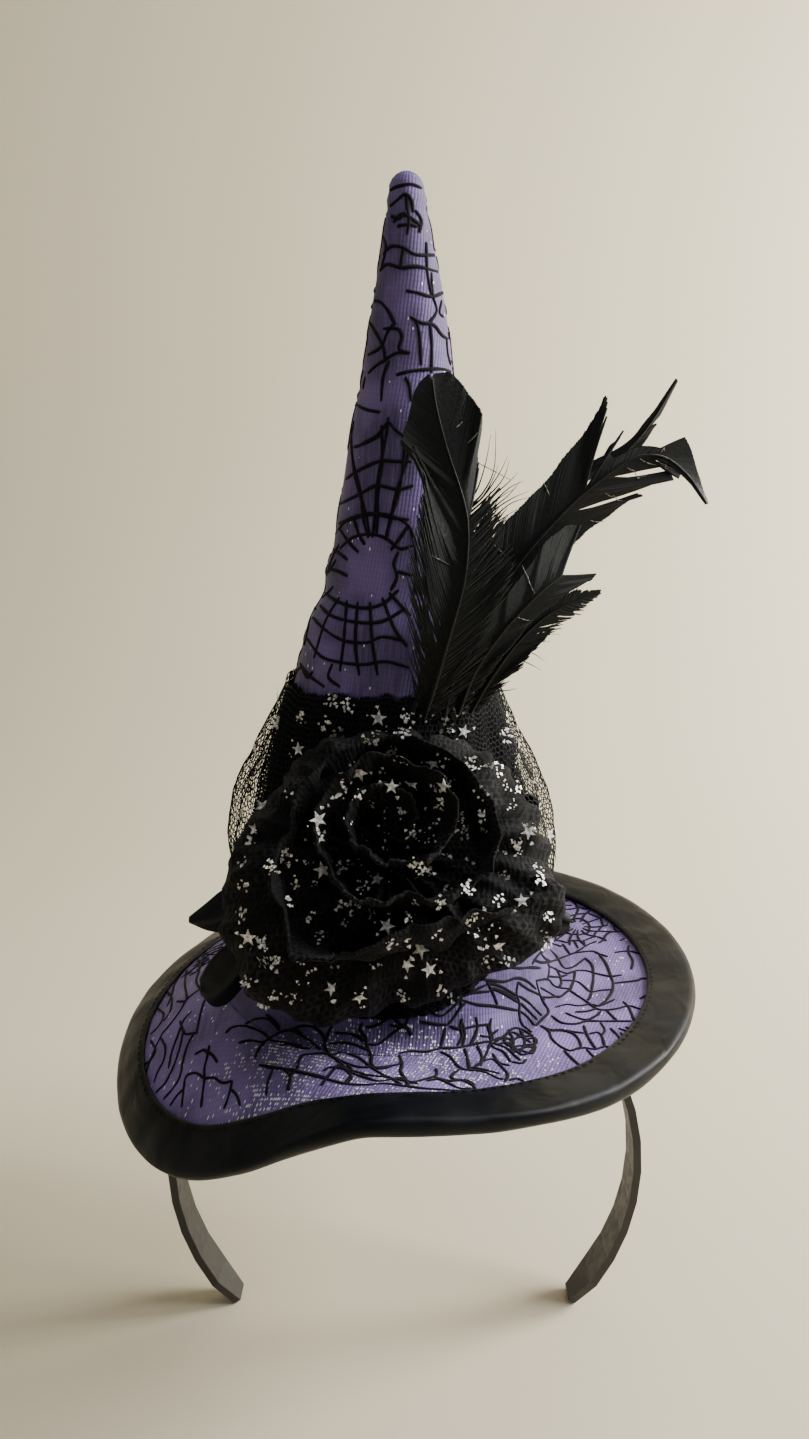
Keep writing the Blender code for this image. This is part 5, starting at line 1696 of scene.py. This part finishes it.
@dataclass
class WebCloth:
    """Raised black flock webs on the crown and on the brim."""

    view: PhotoView
    crown: Crown
    crown_half: float = 0.52
    brim_half: float = 0.43
    sides: int = 6
    flatness: float = 0.55
    lift: float = 0.06
    steps: int = 4
    # A line stops where it would leap further than this to the next surface
    jump: float = 7.0
    brim_end: float = 80.0
    crown_end: float = 47.5
    binding_from: float = 74.5
    # The webs behind. On the crown: direction, height and number of spokes. On the brim:
    # direction, reach and number of spokes
    crown_spots: tuple = (
        (30, 124, 14), (338, 112, 13), (140, 112, 14), (85, 140, 12), (190, 150, 11), (10, 160, 11),
        (60, 180, 10), (150, 184, 9), (95, 207, 8))
    brim_spots: tuple = ((24.0, 63.0, 13), (52.0, 66.0, 12), (80.0, 61.0, 14),
                         (108, 65, 12), (136, 62, 13), (162, 66, 12))

    def web(self, spokes: int, hole: float, rings: Sequence[float], chance: random.Random,
            sag: float = 0.14) -> list[list[tuple[float, float]]]:
        """Draw one flat web round a bare middle.

        Args:
            spokes: How many spokes it has.
            hole: The radius of its bare middle.
            rings: The radii of its rings.
            chance: What makes it uneven.
            sag: How far each thread of a ring sags inwards, as a share of its length.

        Returns:
            Its lines, as points across and up from the middle.
        """
        turns = [TURN * (k + chance.uniform(-0.22, 0.22)) / spokes for k in range(spokes)]
        lines = []
        for turn in turns:
            start = hole * chance.uniform(0.72, 0.95)
            end = rings[-1] * chance.uniform(1.0, 1.12)
            bend = chance.uniform(-0.06, 0.06)
            count = max(int((end - start) / 2.0), 3)
            line = []
            for k in range(count + 1):
                reach = start + (end - start) * k / count
                angle = turn + bend * math.sin(math.pi * k / count)
                line.append((reach * math.cos(angle), reach * math.sin(angle)))
            lines.append(line)
        for ring in rings:
            for k in range(spokes):
                first, second = turns[k], turns[(k + 1) % spokes]
                if second < first:
                    second += TURN
                reach = ring * chance.uniform(0.94, 1.06)
                chord = reach * (second - first)
                count = max(int(chord / 1.8), 3)
                line = []
                for step in range(count + 1):
                    t = step / count
                    away = reach - sag * chord * 4.0 * t * (1.0 - t)
                    angle = first + (second - first) * t
                    line.append((away * math.cos(angle), away * math.sin(angle)))
                lines.append(line)
        return lines

    def lay(self, threads: Strands, marks: Sequence[tuple[Vector, Vector] | None],
            half: float) -> None:
        """Add a line of points and facings, thinner at its ends, that stops where one is None."""
        for run in runs(marks):
            ends = (0, len(run) - 1)
            widths = [half * (1.0 + 0.35 * crinkle(place, 4.0, 3.0)) * (0.72 if k in ends else 1.0)
                      for k, (place, _) in enumerate(run)]
            threads.add([place for place, _ in run], [facing for _, facing in run], widths)

    def lay_seen(self, threads: Strands, seen: dict, skin: BVHTree, half: float) -> None:
        """Lay lines drawn over parts of the photograph where their lines of sight meet a skin."""
        for part, line in ((part, line) for part, lines in seen.items() for line in lines):
            rows = traced(line)
            marks: list[tuple[Vector, Vector] | None] = [None]
            for k in range((len(rows) - 1) * self.steps + 1):
                start, way = part.ray(self.view, *row_at(rows, k / self.steps))
                place, normal, *_ = skin.ray_cast(start, way)
                if place is None or math.hypot(place.x, place.y) > self.brim_end:
                    marks.append(None)
                    continue
                place = place - FOOT + normal * self.lift
                if marks[-1] and (place - marks[-1][0]).length > self.jump:
                    marks.append(None)
                marks.append((place, normal))
            self.lay(threads, marks, half)

    def build_crown(self, cone: Object, finish: Material) -> Object:
        """Lay the crown's webs: as seen in front, and more of the same kind behind."""
        chance = random.Random(5)
        threads = Strands()
        skins = Skins()
        skins.add(cone)
        self.lay_seen(threads, CROWN_SEEN, skins.tree(), self.crown_half)
        for turn, height, spokes in self.crown_spots:
            grow = self.crown.section(height)[0] / 22.0
            rings = [reach * grow for reach in (11.5, 16.5, 24.0, 32.0, 40.0)]
            for line in self.web(spokes, 9.5 * grow, rings, chance):
                marks = []
                for across, up in line:
                    level = height + up
                    near = self.crown.section(min(max(level, 5.0), 220.0))[0]
                    angle = math.radians(turn) + across / max(near, 4.0)
                    others = [math.hypot((angle - math.radians(t)) * near, level - h)
                              for t, h, _ in self.crown_spots if (t, h) != (turn, height)]
                    owned = math.hypot(across, up) < min(others) * 1.08 and math.sin(angle) > -0.25
                    marks.append((self.crown.skin(level, angle, self.lift), polar(1.0, angle, 0.15))
                                 if owned and 80.0 < level < 221.0 else None)
                self.lay(threads, marks, self.crown_half)
        return settle(threads.sweep("crown_webs", finish, self.sides, self.flatness), slot="net")

    def build_brim(self, ring: Object, cone: Object, finish: Material) -> Object:
        """Lay the brim's webs: as seen in front, and more of the same kind behind."""
        chance = random.Random(9)
        threads = Strands()
        skins = Skins()
        skins.add(ring, cone)
        skin = skins.tree()
        self.lay_seen(threads, BRIM_SEEN, skin, self.brim_half)
        for turn, reach, spokes in self.brim_spots:
            x0 = reach * math.cos(math.radians(turn))
            y0 = reach * math.sin(math.radians(turn))
            for line in self.web(spokes, 3.4, (5.5, 9.5, 14.0, 19.0), chance):
                marks = []
                for across, up in line:
                    spot = Vector((x0 + across, y0 + up, 0.0))
                    x = spot.x + 2.6 * crinkle(spot, 9.0, 41.0)
                    y = spot.y + 2.6 * crinkle(spot, 9.0, 47.0)
                    place, normal, *_ = skin.ray_cast(Vector((x, y, 30.0)), Vector((0, 0, -1)))
                    bare = self.crown_end < math.hypot(x, y) < self.binding_from and y > 13.0
                    marks.append((place - FOOT + normal * self.lift, normal)
                                 if place and bare else None)
                self.lay(threads, marks, self.brim_half)
        return settle(threads.sweep("brim_webs", finish, self.sides, self.flatness), slot="net")


# The foil stars

class StarKind(Enum):
    """How much of a foil star is left."""

    WHOLE = "whole"
    WORN = "worn"
    SPECK = "speck"


# Where the stars in front were seen on the enlarged lower part, each as x, y
STARS_SEEN = {
    StarKind.WHOLE: (
        937, 127, 905, 228, 776, 360, 726, 365, 858, 365, 830, 305, 667, 130, 693, 195, 1066, 478,
        885, 98, 847, 133, 647, 330, 714, 712, 690, 597, 553, 573, 542, 447, 495, 272, 405, 415,
        388, 470, 797, 770, 577, 868, 645, 887, 763, 808, 818, 820, 1050, 650, 990, 760, 370, 740,
        1118, 485),
    StarKind.WORN: (
        795, 120, 855, 100, 888, 172, 860, 213, 765, 190, 712, 145, 576, 155, 617, 163, 555, 203,
        497, 197, 592, 235, 670, 252, 732, 270, 755, 232, 607, 350, 600, 378, 918, 298, 965, 316,
        990, 325, 672, 402, 752, 427, 851, 410, 897, 445, 903, 478, 957, 440, 962, 473, 1040, 508,
        1030, 535, 997, 580, 1085, 573, 1098, 593, 546, 492, 657, 490, 777, 480, 818, 497, 790, 560,
        818, 577, 600, 560, 455, 530, 490, 608, 428, 567, 360, 560, 365, 610, 912, 618, 850, 650,
        940, 680, 920, 690, 1115, 680, 1103, 735, 672, 675, 640, 665, 535, 690, 545, 735, 722, 750,
        482, 885, 757, 882, 353, 685, 408, 755, 407, 803, 443, 803, 372, 850, 398, 910, 345, 430,
        383, 505, 1155, 560, 1140, 600, 530, 110, 640, 100, 1010, 240, 440, 210),
}


@dataclass
class FoilStars:
    """Silver foil stars on the black net: some whole, and most worn to a cluster of flakes."""

    view: PhotoView
    band: NetBand
    outer: float = 2.25
    inner: float = 0.40
    thick: float = 0.10
    lift: float = 0.22
    # How many flakes a worn star, a speck and a whole star have
    flakes: int = 15
    speck_flakes: int = 8
    loose_flakes: int = 3
    flake: float = 0.50
    # For the sides and the back: how many are tried, and how far apart they stay
    tries: int = 420
    apart: float = 7.0
    # Small specks between the seen stars: how many are tried, and their middle and spread
    specks: int = 120
    middle: tuple = (745.0, 540.0)
    spread: tuple = (190.0, 200.0)
    front: float = 62.0
    whole_share: float = 0.35
    # How far a star in front leans from its cloth towards the view
    towards_view: float = 0.8
    spots: list = field(default_factory=list)

    def tree(self) -> NodeTree:
        """Return the geometry tree that sets a thin flat star on every point."""
        tree = bpy.data.node_groups.new("foil_stars", "GeometryNodeTree")
        tree_sockets(tree, (("Spots", "NodeSocketGeometry"), ("Arms", "NodeSocketInt", 5),
                            ("Inner", "NodeSocketFloat", 0.4),
                            ("Thickness", "NodeSocketFloat", 0.1),
                            ("Finish", "NodeSocketMaterial")), (("Stars", "NodeSocketGeometry"),))
        nodes = Nodes(tree)
        given = nodes.add("NodeGroupInput").outputs
        outline = nodes.add("GeometryNodeCurveStar", {
            "Points": given["Arms"], "Inner Radius": given["Inner"], "Outer Radius": 1.0})
        face = nodes.add("GeometryNodeFillCurve", {"Curve": outline})
        wall = nodes.add("GeometryNodeExtrudeMesh", {
            "Mesh": face, "Offset Scale": given["Thickness"], "Individual": False})
        both = nodes.add("GeometryNodeJoinGeometry", {"Geometry": wall})
        nodes.feed(both.inputs[0], nodes.add("GeometryNodeFlipFaces", {"Mesh": face}))
        star = nodes.add("GeometryNodeMergeByDistance", {"Geometry": both})
        stand = nodes.add("FunctionNodeAlignRotationToVector",
                          {"Vector": nodes.attribute("normal_out", "FLOAT_VECTOR")}, axis="Z")
        turn = nodes.add("FunctionNodeAxisAngleToRotation", {
            "Axis": (0.0, 0.0, 1.0), "Angle": nodes.attribute("spin", "FLOAT")})
        pose = nodes.add("FunctionNodeRotateRotation", {"Rotation": stand, "Rotate By": turn},
                         rotation_space="LOCAL")
        put = nodes.add("GeometryNodeInstanceOnPoints", {
            "Points": given["Spots"], "Instance": star, "Rotation": pose,
            "Scale": nodes.attribute("size", "FLOAT")})
        real = nodes.add("GeometryNodeRealizeInstances", {"Geometry": put})
        dressed = nodes.add("GeometryNodeSetMaterial",
                            {"Geometry": real, "Material": given["Finish"]})
        nodes.add("NodeGroupOutput", {"Stars": dressed})
        return tree

    def find_front(self, skins: BVHTree) -> None:
        """Find where the stars that the photograph shows lie, and add specks between them."""
        seen = [(kind, x, y) for kind, line in STARS_SEEN.items() for _, x, y in traced(line)]
        chance = random.Random(8)
        seen += [(StarKind.SPECK, chance.gauss(self.middle[0], self.spread[0]),
                  chance.gauss(self.middle[1], self.spread[1])) for _ in range(self.specks)]
        for kind, x, y in seen:
            start, way = LOWER_PART.ray(self.view, x, y)
            place, normal, *_ = skins.ray_cast(start, way)
            if place is None or kind is StarKind.SPECK and min(
                    (place - spot[1]).length for spot in self.spots) < self.apart / 2:
                continue
            if normal.dot(way) > 0.0:
                normal.negate()
            facing = (normal - way * self.towards_view).normalized()
            self.spots.append((kind, place + normal * self.lift, facing))

    def scatter(self, chance: random.Random) -> None:
        """Scatter stars over the net at the sides and the back."""
        for _ in range(self.tries):
            height, turn = chance.uniform(13.0, 87.0), chance.uniform(-180.0, 180.0)
            if abs(turn + 90.0) < self.front:
                continue
            angle = math.radians(turn)
            place = self.band.point(height, angle, 1.0, 0.45) + FOOT
            if min((place - spot[1]).length for spot in self.spots) < self.apart:
                continue
            kind = StarKind.WHOLE if chance.random() < self.whole_share else StarKind.WORN
            self.spots.append((kind, place, polar(1.0, angle, 0.1).normalized()))

    def piece(self, name: str, rows: Sequence[tuple], arms: int, inner: float,
              finish: Material) -> Object:
        """Make one piece of foil shapes from rows of place, normal, spin and size."""
        mesh = bpy.data.meshes.new(name)
        mesh.from_pydata([row[0] * MM for row in rows], [], [])
        for column, title in ((1, "normal_out"), (2, "spin"), (3, "size")):
            point_values(mesh, title, [row[column] for row in rows])
        item = run_tree(new_object(name, mesh), self.tree(), {
            "Arms": arms, "Inner": inner, "Finish": finish, "Thickness": self.thick / self.outer})
        return settle(item, slot="net")

    def build(self, skins: BVHTree, finish: Material) -> list[Object]:
        """Set the whole stars and the flakes of the worn ones."""
        chance = random.Random(21)
        self.find_front(skins)
        self.scatter(chance)
        whole, flakes = [], []
        for kind, place, normal in self.spots:
            spin = chance.uniform(0.0, TURN)
            tilt = Vector((chance.gauss(0, 0.1), chance.gauss(0, 0.1), chance.gauss(0, 0.1)))
            normal = (normal + tilt).normalized()
            if kind is StarKind.WHOLE:
                size = self.outer * chance.uniform(0.86, 1.08)
                whole.append((place, normal, spin, size * MM))
                count = self.loose_flakes
            else:
                count = ((self.flakes if kind is StarKind.WORN else self.speck_flakes)
                         + chance.randrange(-4, 4))
            side = normal.orthogonal().normalized()
            up = normal.cross(side)
            for _ in range(count):
                angle = spin + TURN * (chance.randrange(5) / 5 + chance.gauss(0, 0.03))
                reach = self.outer * (1.35 if kind is StarKind.WHOLE else chance.uniform(0.15, 1.0))
                spot = place + (side * math.cos(angle) + up * math.sin(angle)) * reach
                flakes.append((spot, (normal + tilt * 2.0).normalized(), chance.uniform(0.0, 6.0),
                               self.flake * chance.uniform(0.45, 1.3) * MM))
        return [self.piece("foil_stars", whole, 5, self.inner, finish),
                self.piece("foil_flakes", flakes, 3, 0.62, finish)]


# Floor, light and camera

@dataclass
class Studio:
    """A plain pale floor that curves up behind, and soft light mostly from the right."""

    floor: float = -126.9
    # The sheet behind and below in metres: half its width, where it begins in front and stands
    # behind, its height, and the size of its bend
    half_width: float = 2.2
    front: float = -1.4
    deep: float = 0.9
    tall: float = 1.6
    bend: float = 0.45
    colour: tuple = (0.70, 0.637, 0.475, 1.0)
    sky: tuple = (0.80, 0.80, 0.76, 1.0)
    sky_strength: float = 0.18
    # Name, place, target, size, power and colour. The last one brightens the wall behind
    lights: tuple = (
        ("window", (0.88, -0.03, 0.56), (0.0, 0.0, 0.06), 0.5, 16.5, (1.0, 0.98, 0.96)),
        ("room", (-0.85, -0.75, 0.45), (0.0, 0.0, 0.06), 0.9, 0.7, (0.95, 0.97, 1.0)),
        ("ceiling", (0.20, -0.10, 0.95), (0.0, 0.0, 0.06), 0.6, 2.7, (1.0, 0.98, 0.95)),
        ("wall", (1.1, 0.30, 0.55), (0.30, 0.90, 0.20), 0.5, 26.0, (1.0, 0.97, 0.90)))

    def build(self) -> None:
        """Build the floor, the lights and the sky."""
        low = self.floor * MM
        start = self.deep - self.bend
        profile = [(self.front, low), (start, low)]
        for k in range(1, 13):
            turn = k / 12 * math.pi / 2
            profile.append((start + self.bend * math.sin(turn),
                            low + self.bend * (1 - math.cos(turn))))
        profile.append((self.deep, low + self.tall))
        points = [(x, y, z) for y, z in profile for x in (-self.half_width, self.half_width)]
        faces = [(2 * k, 2 * k + 1, 2 * k + 3, 2 * k + 2) for k in range(len(profile) - 1)]
        mesh = bpy.data.meshes.new("floor")
        mesh.from_pydata(points, [], faces)
        mesh.shade_smooth()
        made, nodes, shader = start_finish("pale_floor", Roughness=0.9)
        cloud = nodes.noise(object_place(nodes), 0.0014)
        nodes.feed(shader.inputs["Base Color"], nodes.blend(
            nodes.ramp(cloud, 0.3, 0.7), self.colour,
            tuple(value * 0.94 for value in self.colour[:3]) + (1.0,)))
        mesh.materials.append(made)
        floor = new_object("floor", mesh)
        for row in self.lights:
            self.light(*row)
        world = bpy.data.worlds.new("room_light")
        world.use_nodes = True
        sky = world.node_tree.nodes["Background"]
        sky.inputs["Color"].default_value = self.sky
        sky.inputs["Strength"].default_value = self.sky_strength
        bpy.context.scene.world = world

    def light(self, name: str, place: tuple, target: tuple, size: float, power: float,
              colour: tuple) -> None:
        """Add a square area light that looks at a target."""
        data = bpy.data.lights.new(name, "AREA")
        data.size = size
        data.energy = power
        data.color = colour
        lamp = new_object(name, data)
        lamp.location = place
        lamp.rotation_euler = (Vector(target) - Vector(place)).to_track_quat("-Z", "Y").to_euler()


def main() -> None:
    """Build the hat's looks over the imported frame."""
    logging.basicConfig(level=logging.INFO, format="%(name)s: %(message)s")
    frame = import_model()
    view = PhotoView()
    view.place_camera()
    Studio().build()
    crown = Crown()
    brim = Brim()
    binding = Binding(brim)
    band = NetBand(crown)
    rosette = Rosette()
    # Painted shade: the crown takes the brim's cloth in darker colours and with fewer painted
    # glints, as it lies in shade
    cone = crown.build(PurpleCloth("crown_purple_painted_shade", (0.190, 0.135, 0.345, 1.0),
                                   (0.064, 0.046, 0.120, 1.0), glint_share=0.008,
                                   slant=-1.45).material())
    ring = brim.build(PurpleCloth("brim_purple").material())
    satin = BlackSatin("black_satin").material()
    binding.build(satin)
    thread = THREAD.material()
    binding.stitches(thread)
    puff = band.build_threads(thread)
    veil = NetVeil("black_veil").material()
    dense = NetVeil("dense_veil", pitch=1.4, thread=0.75, dense=0.6).material()
    band.build_layer("net_middle_layer", 0.36, veil, 8.0, 91.0, 40, 1.2)
    band.build_layer("net_inner_layer", 0.12, dense, 7.5, 90.0, 52, 0.6)
    crape = CrapeNet("black_crape").material()
    net = Skins()
    net.add(rosette.build(crape))
    net.add(rosette.build_flounce(crape))
    net.add_points(*band.shell())
    FoilStars(view, band).build(net.tree(), FOIL.material())
    SatinBow().build(satin)
    vane = BARBS.material()
    pale = Strands()
    for name, shape in FEATHERS.items():
        Feather(name, band, **shape).build(vane, pale)
    settle(pale.sweep("plume_cracks", CRACK.material(), 4, 0.5), slot="feather")
    build_wisps(view, vane)
    flock = FLOCK.material()
    webs = WebCloth(view, crown)
    webs.build_crown(cone, flock)
    webs.build_brim(ring, cone, flock)
    headband = frame["nodes"]["headband"]
    headband.material_slots[0].material = BAND.material()


if __name__ == "__main__":
    main()
